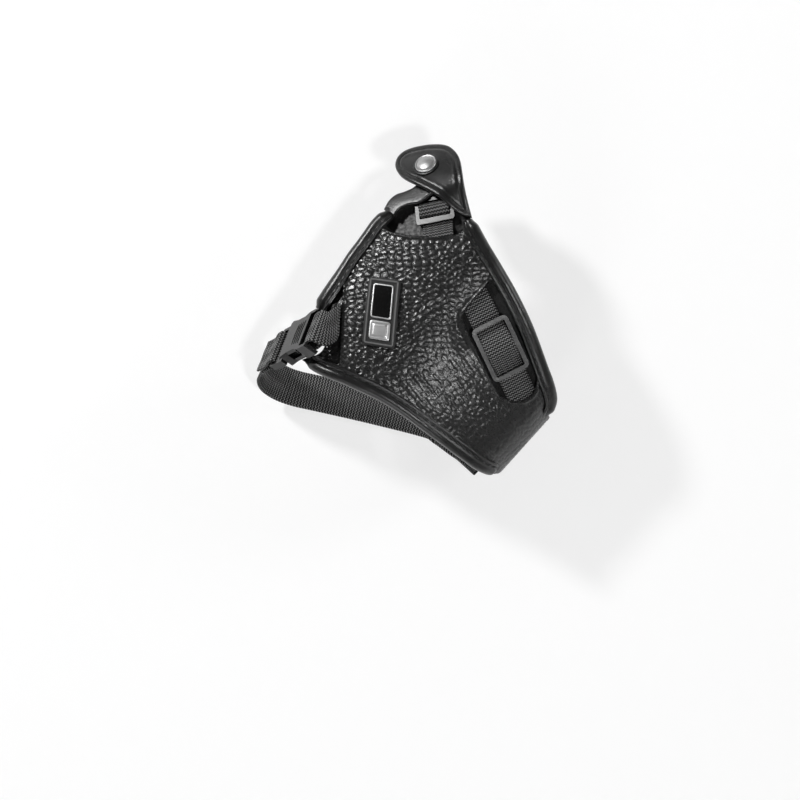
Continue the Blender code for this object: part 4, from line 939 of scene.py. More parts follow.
def binding(name, node, line):
    look = bindingLook
    outer, inner = bindingProfile()
    profile = np.vstack([outer, inner[::-1]])
    ahead = unit(np.gradient(line, axis=0))
    inward = leftOf(ahead)
    flat = line[:, None] + inward[:, None] * profile[None, :, :1]
    run = runOf(line)
    heights = np.repeat(profile[None, :, 1], len(line), axis=0)
    ripples = ripple(np.column_stack([run, run * 0]), 1.7, 61)[:, None]
    upper = (profile[:, 1] > coverHigh + 0.52) & (np.arange(len(profile)) < len(outer))
    heights = heights + upper[None] * ripples * look["wrinkle"]
    # Each stitch draws the leather down at its ends
    pull = np.cos(2 * math.pi * run / look["stitchEvery"])[:, None] * 0.05
    inChannel = (np.abs(profile[:, 0] - look["stitchLine"]) < 0.7) & upper
    heights = heights - inChannel[None] * np.maximum(pull, 0)
    # The ends narrow to tuck under what covers them
    reach, least, place, height = look["tuck"]
    pivot = line[:, None] + inward[:, None] * place
    for fromEnd in (run, run[-1] - run):
        size = (least + (1 - least) * smooth(fromEnd, 0.0, reach))[:, None]
        flat = pivot + (flat - pivot) * size[..., None]
        heights = height + (heights - height) * size
    rings = skin(flat, heights)
    cloth = np.zeros(rings.shape)
    cloth[..., 0] = run[:, None]
    cloth[..., 1] = runOf(profile)
    piece = addSweep(name, rings, smoothGrain, values={"cloth": cloth}, hollow=True)
    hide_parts(node)
    stitchLine = line + inward * look["stitchLine"]
    stitches(name + "_thread", stitchLine, coverHigh + look["threadLift"], look)


def addTube(points, faces, rings):
    # A thread through rings of points, with a fan over each end
    first, count, size = len(points), rings.shape[0], rings.shape[1]
    cap = first + count * size
    points += list(rings.reshape(-1, 3)) + [rings[0].mean(axis=0), rings[-1].mean(axis=0)]
    for near in range(first, cap - size, size):
        for m in range(size):
            n = (m + 1) % size
            faces.append((near + m, near + n, near + size + n, near + size + m))
    for m in range(size):
        n = (m + 1) % size
        faces.append((first + n, first + m, cap))
        faces.append((cap - size + m, cap - size + n, cap + 1))


def stitches(name, line, height, look):
    # Separate stitches of round thread, each sunk at both ends
    run = runOf(line)
    starts = np.arange(look["stitchEvery"] / 2, run[-1] - look["stitchLong"], look["stitchEvery"])
    t = np.linspace(0, 1, 7)
    angles = roundTurn(8)
    points, faces = [], []
    for start in starts:
        places = start + look["stitchLong"] * t
        middle = np.stack([np.interp(places, run, line[:, k]) for k in range(2)], axis=1)
        ahead = unit(np.gradient(middle, axis=0))
        side = leftOf(ahead)
        radius = look["threadRadius"] * np.sqrt(np.maximum(0.12, 1 - (2 * t - 1) ** 4))
        sunk = 0.30 * (2 * t - 1) ** 4
        flat = middle[:, None] + side[:, None] * (np.cos(angles)[None, :, None] * radius[:, None, None])
        heights = height - sunk[:, None] + np.sin(angles)[None] * radius[:, None]
        addTube(points, faces, skin(flat, heights))
    piece = addPiece(name, points, faces, thread)


# Collar and snap

collarLook = {"edgeRound": 0.75, "grooveIn": 2.0, "grooveWidth": 0.32, "grooveDepth": 0.30, "spacing": 0.7}
collarOutlines = {
    "tongueOuter": [(-45.6, 18.0), (-46.4, 22.0), (-45.6, 25.5), (-43.5, 28.6), (-41.5, 33.0), (-42.5, 39.5),
                    (-40.6, 44.6)],
    "tongueTip": [(-40.6, 44.6), (-36.6, 44.0), (-34.6, 39.8), (-33.8, 36.0)],
    "tongueInner": [(-33.8, 36.0), (-35.4, 29.4), (-38.6, 25.6), (-40.2, 21.8), (-39.6, 18.2)],
    "flap": [(-16.4, 38.6), (-20.6, 36.6), (-28.9, 35.6), (-36.5, 33.6), (-43.1, 31.6), (-47.4, 31.2),
             (-51.2, 32.4), (-53.2, 35.6), (-52.4, 39.4), (-49.1, 43.6), (-44.5, 47.8), (-39.8, 50.8),
             (-35.8, 51.5), (-32.2, 50.7), (-28.6, 48.2), (-22.4, 43.0), (-16.4, 38.6)],
}
underlayPath = [(-42.6, 17.4), (-43.6, 22.4), (-42.3, 26.6), (-39.2, 31.0), (-37.8, 37.4), (-33.0, 41.0),
                (-23.5, 40.8), (-17.6, 38.4)]
snapLook = {"place": (-40.4, 40.4), "stem": 1.6, "radius": 4.5, "height": 1.8}


def circleLine(centre, radius, count):
    angles = roundTurn(count)
    return np.array(centre) + radius * np.stack([np.cos(angles), np.sin(angles)], axis=1)


def leatherPart(name, node, border, holes, low, thick, rise=None, groove=True):
    look = collarLook
    rise = rise or (lambda flat: 0.0)

    def rounding(flat):
        free = distanceTo(flat, border, True)
        reach = look["edgeRound"]
        inside = np.clip(1 - free / reach, 0, 1)
        return free, reach * (1 - np.sqrt(1 - inside ** 2))

    def top(flat):
        free, rounded = rounding(flat)
        line = np.exp(-((free - look["grooveIn"]) / look["grooveWidth"]) ** 2) * look["grooveDepth"]
        line = line - 0.6 * np.exp(-((free - look["grooveIn"] - 0.8) / 0.4) ** 2) * look["grooveDepth"]
        return (low + thick - rounded * min(1, thick / 2 / look["edgeRound"]) - (line if groove else 0)
                + 0.05 * ripple(flat, 3.0, 83) + rise(flat))

    def bottom(flat):
        return low + 0.25 * (1 - smooth(distanceTo(flat, border, True), 0, 0.5)) + rise(flat)

    piece = addSheet(name, [border] + holes, smoothGrain, top, bottom, look["spacing"], coarse=1.8,
                     offsets=(0.12, 0.3, 0.55, 0.85, look["grooveIn"] - 0.3, look["grooveIn"],
                              look["grooveIn"] + 0.35, look["grooveIn"] + 0.9))
    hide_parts(node)


def collar():
    shapes = {key: curve(points, 0.6) for key, points in collarOutlines.items()}
    hole = circleLine(snapLook["place"], snapLook["stem"] + gap, 24)
    tongue = closed(shapes["tongueInner"], shapes["tongueOuter"], shapes["tongueTip"])
    leatherPart("collar_tongue_leather", "collar_tongue", tongue, [hole], tongueLow, layers["collar"],
                groove=False)
    root = np.array(collarOutlines["flap"][0])

    def rise(flat):
        share = np.minimum(1.0, np.linalg.norm(flat - root, axis=1) / 14.0)
        return -(flapLow - strapLow) * (1 - share * share * (3 - 2 * share))

    leatherPart("snap_flap_leather", "snap_flap", closed(shapes["flap"]), [hole],
                flapLow, layers["flap"], rise)


def collarUnderlay():
    # Thin leather behind the lug's webbing, from under the cover to under the collar
    scoop = edge("scoop", 0.6)
    inward = unit(np.gradient(scoop, axis=0))
    under = scoop - leftOf(inward) * 1.6
    under = under[(under[:, 0] > -43.4) & (under[:, 0] < -13.8)]
    border = closed(under, curve(underlayPath, 0.6))
    collarLine = edge("collarEdge")
    ahead = unit(collarLine[-1] - collarLine[0])
    outside = np.array([ahead[1], -ahead[0]])

    def beyond(flat):
        return smooth((flat - collarLine[0]) @ outside, 0.6, 1.2)

    def top(flat):
        return layers["lining"] + 0.26 + 0.19 * grain(flat, panelLook)[0]

    piece = addSheet("collar_underlay", [border], innerGrain, top,
                     lambda flat: layers["lining"] + 0.04 - 0.7 * beyond(flat), 0.6,
                     values={"crease": lambda flat: grain(flat, panelLook)[1]})


def turnedSolid(name, profile, axes, origin, material, sides=48, body="strap"):
    # Solid of revolution about the frame's Z; the profile starts and ends near the axis
    angles = roundTurn(sides)
    rings = [np.stack([r * np.cos(angles), r * np.sin(angles), np.full(sides, z)], axis=1)
             for r, z in profile]
    return addSweep(name, inFrame(np.array(rings), axes, origin), material, body=body, sharp=28.0)


def snap():
    axes, origin = tangentFrame(snapLook["place"], 0.0, flapLow + layers["flap"] + gap)
    stem, radius, high = snapLook["stem"], snapLook["radius"], snapLook["height"]
    profile = [(stem * 0.5, -layers["flap"]), (stem, -layers["flap"]), (stem, gap * 0.6),
               (radius * 0.9, gap * 0.6), (radius, 0.35), (radius + 0.02, 0.55), (radius - 0.12, 0.78),
               (radius - 0.38, 0.92), (radius - 0.62, 0.86), (radius - 0.78, 0.80), (radius - 0.98, 0.98),
               (radius - 1.25, 1.20)]
    for k in range(1, 9):
        t = k / 8
        profile.append(((radius - 1.25) * (1 - t * 0.97), 1.20 + (high - 1.20) * math.sin(t * math.pi / 2)))
    piece = turnedSolid("snap_dome", profile, axes, origin, brightSteel)
    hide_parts("snap_cap")
    ring = [(radius + 0.1, -0.25), (radius + 0.75, -0.25), (radius + 0.85, 0.0), (radius + 0.6, 0.2),
            (radius + 0.2, 0.22), (radius + 0.1, 0.0)]
    angles = roundTurn(48)
    rings = np.array([[(r * math.cos(angle), r * math.sin(angle), z) for r, z in ring] for angle in angles])
    piece = addLoop("snap_seat_ring", inFrame(rings, axes, origin), smoothGrain)


def addLoop(name, rings, material, **rest):
    # A ring-shaped solid: the last section meets the first
    count, size = rings.shape[0], rings.shape[1]
    faces = []
    for k in range(count):
        for m in range(size):
            faces.append((k * size + m, k * size + (m + 1) % size,
                          (k + 1) % count * size + (m + 1) % size, (k + 1) % count * size + m))
    cloth = rings.reshape(-1, 3).copy()
    return addPiece(name, rings.reshape(-1, 3), faces, material, values={"cloth": cloth}, **rest)


# Webbing

webbingLook = {"step": 0.24, "columns": 15, "ribPitch": 1.20, "ribRise": 0.17, "tackThread": 0.20}
gripWebbing = {"head": 36.0, "straight": 33.0, "turnRadius": 60.0, "plateReach": 8.0, "plateBar": 4.0,
               "barThick": 5.0 - 2 * (layers["webbing"] + gap) - 0.2}
lugLoop = {"place": (-26.7, 28.6), "direction": 140.2, "width": 12.5, "length": 11.5, "bar": 2.1,
           "centreBar": 1.4, "tail": 14.0, "reach": 30.0, "eyeRadius": 2.4}


def addTape(name, centres, sides, width, square=True, body="strap", node=None):
    # Webbing along a line of centres, lying across the directions in sides, with its weft's ribs
    look = webbingLook
    thick = layers["webbing"]
    ahead = unit(np.gradient(centres, axis=0))
    sides = unit(sides)
    if square:
        sides = unit(sides - ahead * np.sum(sides * ahead, axis=1, keepdims=True))
    ups = unit(np.cross(sides, ahead))
    run = runOf(centres)
    half, rise = width / 2, thick / 2
    x = np.linspace(-half + 0.30, half - 0.30, look["columns"])
    upper = list(zip(x, np.full(len(x), rise)))
    shoulder = rise * 0.62
    profile = np.array([(-half, 0.0), (-half + 0.06, shoulder)] + upper
                       + [(half - 0.06, shoulder), (half, 0.0), (half - 0.06, -shoulder)]
                       + [(p, -h) for p, h in upper[::-1]] + [(-half + 0.06, -shoulder)])
    yarn = np.sin(profile[:, 0] * math.pi / 0.6)
    rib = np.sin(2 * math.pi * run[:, None] / look["ribPitch"] + 1.1 * yarn[None])
    scale = 1 + (rib * 0.5 - 0.5) * look["ribRise"] / rise
    flat = profile[None, :, 0] * (1 + 0.006 * rib)
    rings = (centres[:, None] + sides[:, None] * flat[..., None]
             + ups[:, None] * (profile[None, :, 1] * scale)[..., None])
    cloth = np.zeros(rings.shape)
    cloth[..., 0] = profile[None, :, 0]
    cloth[..., 1] = run[:, None]
    cloth[..., 2] = np.sign(profile[None, :, 1]) * 3
    piece = addSweep(name, rings, webbingWeave, values={"cloth": cloth}, body=body, sharp=70.0)
    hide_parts(node)
    return piece, (centres, sides, ups, run)


def laid(points, line):
    # Centres and sides of webbing that lies on the pad; line(t) gives pattern places and sides
    points = np.asarray(points)
    places, sideways = line(points[:, 0])
    near = sideways * 0.5
    centres = skin(places, points[:, 1])
    return centres, unit(skin(places + near, points[:, 1]) - skin(places - near, points[:, 1]))


def joined(*runs):
    return np.vstack([runs[0]] + [run[1:] for run in runs[1:]])


def gripLine(t):
    v = gripWebbing
    ahead = heading(gripSlider["direction"])
    side = left(ahead)
    centre = np.array(gripSlider["place"])
    start = centre + ahead * v["straight"]
    pivot = start + side * v["turnRadius"]
    direction = math.radians(gripSlider["direction"])
    turn = np.clip((t - v["straight"]) / v["turnRadius"], 0, -direction)
    angle = direction + turn + math.pi / 2
    sides = np.stack([np.cos(angle), np.sin(angle)], axis=-1)
    past = np.maximum(0, t - v["straight"] - turn * v["turnRadius"])
    onward = np.stack([sides[..., 1], -sides[..., 0]], axis=-1)
    turned = pivot - sides * v["turnRadius"] + onward * past[..., None]
    straight = centre + ahead * np.asarray(t)[..., None]
    return np.where((t <= v["straight"])[..., None], straight, turned), sides


def gripReach(s):
    v = gripWebbing
    afterTurn = v["straight"] - math.radians(gripSlider["direction"]) * v["turnRadius"]
    return afterTurn + s - gripLine(np.array([afterTurn]))[0][0, 0]


def gripTape():
    v = gripWebbing
    thick = layers["webbing"]
    hump = coverLow + layers["slider"] + gap + thick / 2
    half, bar, frameBar = gripSlider["length"] / 2, gripSlider["centreBar"] / 2, gripSlider["bar"]
    rim = gripReach(sideEnd + v["plateReach"])
    slot = rim + v["plateBar"] + thick / 2 + gap
    over = strapHigh - thick - gap - v["barThick"] - gap - thick / 2
    tail = strapHigh - thick - gap - thick / 2
    bend = 0.7
    step = webbingLook["step"]
    whole = joined(
        curve([(-v["head"], strapMiddle), (-half - 1, strapMiddle)], step),
        curve([(-half - 1, strapMiddle), (-half + frameBar + 0.6, strapMiddle), (-bar - 3.2, hump - 1.2),
               (-bar, hump), (bar, hump), (bar + 3.2, hump - 1.2), (half - frameBar - 0.6, strapMiddle),
               (half + 1, strapMiddle)], step),
        curve([(half + 1, strapMiddle), (rim - 1, strapMiddle)], step),
        curve([(rim - 1, strapMiddle), (slot - bend, strapMiddle), (slot, strapMiddle - bend),
               (slot, over + bend), (slot - bend, over), (rim - 0.2, over)], step),
        curve([(rim - 0.2, over), (rim - 2.6, (over + tail) / 2), (rim - 5.0, tail),
               (rim - 12.5, tail)], step))
    centres, sides = laid(whole, gripLine)
    _, frames = addTape("grip_webbing_tape", centres, sides, gripSlider["webbing"], node="grip_webbing")
    return frames


def lugLine(t):
    ahead = heading(lugLoop["direction"])
    t = np.asarray(t)
    places = np.array(lugLoop["place"]) + ahead * t[..., None]
    return places, np.broadcast_to(left(ahead), places.shape)


def lugTape():
    v = lugLoop
    step = webbingLook["step"]
    front = v["bar"] / 2
    back = v["length"] - front
    middle = (v["length"] - v["bar"]) / 2
    halfBar = v["centreBar"] / 2
    opening = middle - halfBar - front
    up, down = front + opening / 2, back - v["bar"] - opening / 2
    sliderHigh = lugSliderLow + layers["slider"]
    eyeStart = v["reach"] - v["eyeRadius"]
    angles = np.linspace(0, math.pi, 30)[1:]
    eye = np.stack([eyeStart + v["eyeRadius"] * np.sin(angles),
                    lugMiddle - v["eyeRadius"] + v["eyeRadius"] * np.cos(angles)], axis=1)
    low = lugMiddle - 2 * v["eyeRadius"]
    whole = joined(
        curve([(-v["tail"], strapMiddle), (-6.6, strapMiddle), (-2.2, lugMiddle), (front, lugMiddle)], step),
        curve([(front, lugMiddle), (up - 0.5, lugMiddle + 0.2), (up, lugSliderLow), (up + 0.2, sliderHigh),
               (middle - halfBar, lugHump), (middle + halfBar, lugHump), (down - 0.2, sliderHigh),
               (down, lugSliderLow), (down + 0.5, lugMiddle + 0.2), (back - v["bar"], lugMiddle),
               (back + 1, lugMiddle)], step),
        curve([(back + 1, lugMiddle), (eyeStart, lugMiddle)], step),
        np.vstack([[(eyeStart, lugMiddle)], eye]),
        curve([(eyeStart, low), (eyeStart - 2, low), (back + 4, low)], step))
    centres, sides = laid(whole, lugLine)
    addTape("lug_webbing_tape", centres, sides, v["width"], node="lug_webbing")


def addThreads(name, frames, rows, face):
    # Short threads on a face of a tape, from (run, offset) to (run, offset)
    centres, sides, ups, run = frames
    radius = webbingLook["tackThread"]
    t = np.linspace(0, 1, 6)
    angles = roundTurn(7)
    points, faces = [], []
    for runStart, runEnd, offStart, offEnd in rows:
        places = runStart + (runEnd - runStart) * t
        offsets = offStart + (offEnd - offStart) * t
        at = [np.stack([np.interp(places, run, part[:, k]) for k in range(3)], axis=1)
              for part in (centres, sides, ups)]
        lift = layers["webbing"] / 2 + radius * (0.55 - 1.3 * (2 * t - 1) ** 4)
        middle = at[0] + at[1] * offsets[:, None] + at[2] * (face * lift)[:, None]
        ahead = unit(np.gradient(middle, axis=0))
        wide = unit(np.cross(ahead, at[2]))
        circle = wide[:, None] * np.cos(angles)[:, None] + at[2][:, None] * np.sin(angles)[:, None]
        addTube(points, faces, middle[:, None] + circle * radius)
    piece = addPiece(name, points, faces, thread)


# Buckle and the webbing at both its ends

buckle = {
    "origin": (-48.2, -4.8, 4.5), "run": (-0.58, -0.27, -0.77), "wide": (-0.30, -0.81, 0.50),
    "socketLength": 19.5, "socketThick": 6.6, "bar": 2.0, "clipThick": 3.0, "clipBase": 9.5, "barRelief": 1.9,
    "webbing": 15.0, "webbingPlace": 24.3, "returnArch": 1.15, "returnShift": 1.7,
}
wristRoute = {
    "seam": -30.0,
    "points": [(-71.5, -18.6, -34.0), (-70.0, -22.4, -43.0), (-65.0, -25.8, -48.8), (-58.5, -28.1, -51.0),
               (-50.0, -30.0, -51.5), (-28.0, -35.0, -51.5)],
}


def buckleAxes():
    run = unit(np.array(buckle["run"]))
    wide = np.array(buckle["wide"])
    wide = unit(wide - run * (wide @ run))
    return np.column_stack([run, wide, np.cross(run, wide)]), np.array(buckle["origin"])


def twisted(count, keys):
    # A side for each centre, turned smoothly between the keys (index share, side)
    shares = np.linspace(0, 1, count)
    places = [key[0] for key in keys]
    return unit(np.stack([np.interp(shares, places, [key[1][k] for key in keys]) for k in range(3)], axis=1))


def buckleTape():
    v = buckle
    thick = layers["webbing"]
    axes, origin = buckleAxes()
    start, stop = np.array(pattern["cut"][0]), np.array(pattern["cut"][1])
    ahead = unit(stop - start)
    away = np.array([ahead[1], -ahead[0]])
    rest = strapHigh + 2 * gap + thick / 2
    start = start + ahead * v["webbingPlace"]
    lying = [start + away * 0.9, start + away * 1.8]
    side = unit(skin(lying[0] + ahead, rest) - skin(lying[0], rest))
    over = v["socketThick"] / 2 - v["barRelief"] + gap + thick / 2
    past = v["bar"] + gap + thick / 2
    loop = [(-1.2, -over), (past - 0.6, -over), (past, -over + 0.8), (past, over - 0.8), (past - 0.6, over),
            (-1.8, over)]
    loop = [inFrame((x, 0.0, z), axes, origin) for x, z in loop]
    points = [skin(spot, rest) for spot in lying]
    points.append(points[-1] + (loop[0] - points[-1]) * 0.3 + outward(*lying[-1]) * 1.3)
    points += loop
    # The return run arches over the first one
    wide = axes[:, 1]
    lift = thick + 3 * gap
    rising = unit(loop[0] - points[1])
    offRun = unit(np.cross(rising, side)) * lift
    points.append(loop[0] + np.array([0, 0, lift * v["returnArch"]]) - wide * v["returnShift"])
    points.append(points[1] + (loop[0] - points[1]) * 0.35 + offRun * v["returnArch"])
    points.append(skin(start, rest + lift))
    centres = curve(points, webbingLook["step"])
    first, last = (np.argmin(np.linalg.norm(centres - corner, axis=1)) / (len(centres) - 1)
                   for corner in (loop[0], loop[-1]))
    sides = twisted(len(centres), [(0.0, side), (first * 0.4, side), (first, wide), (last, wide),
                                   (1 - (1 - last) * 0.4, side), (1.0, side)])
    _, frames = addTape("buckle_webbing_tape", centres, sides, v["webbing"], square=False,
                        node="buckle_webbing")
    return frames


def wristTape():
    v = buckle
    thick = layers["webbing"]
    axes, origin = buckleAxes()
    end = v["socketLength"] + gap + v["clipBase"]
    over = v["clipThick"] / 2 + gap + thick / 2
    slot = end - v["bar"] - gap - thick / 2
    doubled = thick / 2 + gap
    fold = [(end + 10.0, doubled), (end + 4.5, doubled), (end + 1.0, over - 0.3), (end - 1.2, over),
            (slot + 0.6, over), (slot, over - 0.8), (slot, -over + 0.8), (slot + 0.6, -over),
            (end - 1.2, -over), (end + 1.0, -over + 0.3), (end + 4.5, -doubled), (end + 8.5, -doubled)]
    step = webbingLook["step"]
    folded = curve([inFrame((x, 0.0, z), axes, origin) for x, z in fold], step)
    ground = tableZ + thick / 2
    route = [folded[-1]] + [np.array(p) for p in wristRoute["points"]]
    for point in route[5:]:
        point[2] = ground
    inner = -gap - thick / 2
    landing = [(sideEnd + 10.0, -33.0, strapHigh - thick / 2 - 0.8), (sideEnd + 3.0, -31.4, 1.0),
               (sideEnd - 5.0, -30.6, inner)]
    landing += [(sideEnd - reach, wristRoute["seam"], inner) for reach in (10.0, 15.0, 20.0, 26.0)]
    route += [skin((s, a), height) for s, a, height in landing]
    down = curve(route, step)
    wide = axes[:, 1]
    sides = np.vstack([twisted(len(folded), [(0.0, wide), (1.0, wide)]),
                       twisted(len(down), [(0.0, wide), (0.35, -along + across * 0.15), (0.65, -along),
                                           (1.0, -along)])[1:]])
    piece, _ = addTape("wrist_webbing_tape", np.vstack([folded, down[1:]]), sides, v["webbing"],
                       body=None, node="wrist_webbing")
    return piece


def boxStitch(name, frames, start, stop, half, face):
    # Box of stitches with a cross in it
    long, pitch = 1.25, 1.6
    rows = []
    for offset in (-half, half):
        rows += [(p, p + long, offset, offset) for p in np.arange(start, stop - long, pitch)]
    for place in (start, stop):
        rows += [(place, place, p, p + long) for p in np.arange(-half, half - long + 0.1, pitch)]
    count = int((2 * half) / pitch)
    for k in range(count):
        t, u = (k + 0.1) / count, (k + 0.85) / count
        for sign in (-1, 1):
            rows.append((start + (stop - start) * t, start + (stop - start) * u,
                         sign * half * (2 * t - 1), sign * half * (2 * u - 1)))
    addThreads(name, frames, rows, face)


# Metal and plastic that keep their solids, with worked edges

edgeRounds = {
    "grip_slider": (0.50, 4, gunmetal), "lug_slider": (0.42, 4, shadedBarSteel),
    "buckle_socket": (0.38, 3, plastic), "buckle_clip": (0.34, 3, plastic),
    "snap_socket": (0.15, 2, brightSteel), "snap_stud": (0.15, 2, brightSteel),
    "snap_rivet": (0.15, 2, brightSteel),
    "base_plate": (0.45, 3, blackAluminium),
}


def workedSolids():
    for node, (width, steps, material) in edgeRounds.items():
        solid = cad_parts[node]
        for spot in solid.material_slots:
            spot.material = material
        bevel = solid.modifiers.new("worked edges", "BEVEL")
        bevel.width = width * metres
        bevel.segments = steps
        bevel.limit_method = "ANGLE"
        bevel.angle_limit = math.radians(35)
        bevel.harden_normals = True


# Badge

badgeLook = {"place": (-17.4, -13.7), "direction": -55.1, "length": 27.0, "width": 12.6, "corner": 1.4,
             "rimIn": 0.95, "rimWidth": 0.26, "rimRise": 0.34, "field": 2.6, "upper": 13.5, "between": 1.0,
             "line": 0.52}


def roundedRectangle(length, width, radius, middle, spacing, steps):
    # Rounded rectangle about a middle on the first axis; each corner has a number of steps
    points = []
    for quarter, (sx, sy) in enumerate(((1, 1), (-1, 1), (-1, -1), (1, -1))):
        corner = np.array([middle + sx * (length / 2 - radius), sy * (width / 2 - radius)])
        for k in range(steps + 1):
            angle = (quarter + k / steps) * math.pi / 2
            points.append(corner + radius * np.array([math.cos(angle), math.sin(angle)]))
    dense = []
    for p, q in zip(points, points[1:] + points[:1]):
        count = max(1, round(np.linalg.norm(q - p) / spacing))
        dense += [p + (q - p) * k / count for k in range(count)]
    return np.array(dense)


def roundedLoop(length, width, radius, middle=0.0):
    # The same in the badge's own directions, laid on the pattern
    dense = roundedRectangle(length, width, radius, middle, 0.5, 5)
    ahead = heading(badgeLook["direction"])
    return np.array(badgeLook["place"]) + dense[:, :1] * ahead + dense[:, 1:] * left(ahead)


def badge():
    v = badgeLook
    low = coverHigh + gap
    border = roundedLoop(v["length"], v["width"], v["corner"])

    def baseTop(flat):
        free = distanceTo(flat, border, True)
        rim = v["rimRise"] * np.exp(-((free - v["rimIn"]) / v["rimWidth"]) ** 4)
        return low + 0.95 + rim + 0.1 * smooth(free, 0.0, 0.5) - 0.12 * smooth(free, 1.5, 1.8)

    # The badge's raised rim is painted lighter than the rubber round it
    base = addSheet("badge_moulding", [border], badgeRubber, baseTop, flatAt(low - 0.15), 0.7,
                    offsets=(0.25, 0.5, 0.7, 0.95, 1.2, 1.45, 1.8),
                    values={"lightened": lambda flat: np.exp(-((distanceTo(flat, border, True) - v["rimIn"])
                                                            / v["rimWidth"]) ** 4)})
    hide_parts("badge_base")
    top = low + 1.2
    inner = v["length"] - 2 * v["field"]
    width = v["width"] - 2 * v["field"] + 0.5
    upper = -inner / 2 + v["upper"] / 2
    lowerLength = inner - v["upper"] - v["between"]
    lower = inner / 2 - lowerLength / 2
    outerLine = roundedLoop(v["upper"], width, 1.0, upper)
    innerLine = roundedLoop(v["upper"] - 2 * v["line"], width - 2 * v["line"], 0.6, upper)

    def softTop(loops, high, reach=0.25):
        def height(flat):
            free = np.min([distanceTo(flat, loop, True) for loop in loops], axis=0)
            return high - 0.15 * (1 - smooth(free, 0.0, reach))
        return height

    field = addSheet("badge_field", [roundedLoop(v["upper"] - 0.4, width - 0.4, 0.8, upper)], plastic,
                     softTop([innerLine], top + 0.10), flatAt(top - 0.3), 0.8)
    line = addSheet("badge_upper_frame", [outerLine, innerLine], silver,
                    softTop([outerLine, innerLine], top + 0.40),
                    flatAt(top - 0.2), 0.4, offsets=(0.12, 0.3))
    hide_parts("badge_upper_plate")
    plateLine = roundedLoop(lowerLength, width, 1.0, lower)

    def plateTop(flat):
        free = distanceTo(flat, plateLine, True)
        groove = 0.18 * np.exp(-((free - 1.15) / 0.22) ** 4)
        return top + 0.40 - 0.15 * (1 - smooth(free, 0.0, 0.25)) - groove

    plate = addSheet("badge_lower_field", [plateLine], silver, plateTop,
                     flatAt(top - 0.2), 0.5, offsets=(0.12, 0.3, 0.75, 0.95, 1.15, 1.35, 1.55))
    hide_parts("badge_lower_plate")


# Plate for the tripod socket

plateLook = {"length": 46.0, "width": 29.0, "thick": 5.0, "padThick": 1.5, "slotEnd": 7.6, "ribs": 1.5,
             "screwRadius": 3.17, "screwReach": 5.0, "headRadius": 7.5, "headThick": 2.2, "pitch": 1.27,
             "threadDepth": 0.62}


def plateAxes():
    place = sideCentre - gripWebbing["plateReach"]
    middle = gripLine(np.array([gripReach(sideEnd + gripWebbing["plateReach"])]))[0][0, 1]
    axes = np.column_stack([-across, -along, np.array([0, 0, 1.0])])
    return axes, across * place + along * middle + np.array([0, 0, tableZ])


def platePieces():
    v = plateLook
    axes, origin = plateAxes()
    screw = ((v["slotEnd"] + v["length"]) / 2, 0.0)
    start = v["slotEnd"] + 1.4
    length = v["length"] - start - 1.0
    border = roundedRectangle(length, v["width"] - 2.0, 3.0, start + length / 2, 0.6, 6)
    hole = circleLine(screw, v["screwRadius"] + 2 * gap, 48)
    low = v["thick"] + gap

    def top(flat):
        # Ribs across the grip face
        free = np.minimum(distanceTo(flat, border, True), distanceTo(flat, hole, True))
        ribs = 0.5 + 0.5 * np.cos(flat[:, 0] * 2 * math.pi / v["ribs"])
        return low + v["padThick"] - 0.35 * ribs * smooth(free, 1.2, 1.6) - 0.3 * (1 - smooth(free, 0, 0.35))

    pad = addSheet("plate_grip_pad", [border, hole], rubber, top, flatAt(low), 0.5,
                   place=lambda flat, height: inFrame(np.column_stack([flat, height]), axes, origin),
                   offsets=(0.15, 0.35))
    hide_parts("plate_pad")
    head = gap + v["headThick"]
    topZ = v["thick"] + gap + v["padThick"] + v["screwReach"]
    centre = origin + axes[:, 0] * screw[0]
    angles = roundTurn(48)
    shaft = []
    for z in np.arange(head - 0.2, topZ + 0.01, v["pitch"] / 10):
        phase = (z / v["pitch"] - angles / (2 * math.pi)) % 1.0
        cut = v["threadDepth"] * np.abs(2 * phase - 1)
        radius = v["screwRadius"] - cut
        radius = np.minimum(radius, v["screwRadius"] - np.maximum(0, z - (topZ - 0.9)) * 0.9)
        radius = radius if z > head + 1.1 else np.minimum(radius, v["screwRadius"] - 0.35)
        shaft.append(np.stack([radius * np.cos(angles), radius * np.sin(angles), np.full(48, z)], axis=1))
    shaftPiece = addSweep("screw_thread", inFrame(np.array(shaft), axes, centre), brightSteel,
                          body="screw", sharp=50.0)
    # Knurled head with a coin slot, in two halves about the slot's floor
    slotHalf, slotDeep = 0.7, 1.1
    knurl = 96
    loopOuter = []
    for k in range(knurl):
        angle = 2 * math.pi * k / knurl
        radius = v["headRadius"] - (0.22 if k % 2 else 0.0)
        loopOuter.append((radius * math.cos(angle), radius * math.sin(angle)))
    loopOuter = np.array(loopOuter)

    def inHead(flat, height):
        return inFrame(np.column_stack([flat, height]), axes, centre)

    disc = addSheet("screw_head", [loopOuter], brightSteel, flatAt(head),
                    flatAt(gap + slotDeep), 1.2, coarse=1.2, place=inHead, body="screw")
    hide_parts("tripod_screw")
    for name, sign in (("screw_head_left", 1), ("screw_head_right", -1)):
        arc = loopOuter[loopOuter[:, 1] * sign > slotHalf]
        arc = arc[np.argsort(np.arctan2(arc[:, 1], arc[:, 0]) % (2 * math.pi))]
        ends = math.sqrt(v["headRadius"] ** 2 - slotHalf ** 2) - 0.25
        level = slotHalf * sign
        flatSide = np.array([(-ends * sign, level), (0.0, level), (ends * sign, level)])
        loop = np.vstack([arc, flatSide])

        def halfTop(flat, loop=loop):
            free = distanceTo(flat, loop, True)
            return gap + 0.25 * (1 - smooth(free, 0, 0.35))

        half = addSheet(name, [loop], brightSteel, flatAt(gap + slotDeep + 0.05), halfTop,
                        1.0, coarse=0.5, place=inHead, body="screw")


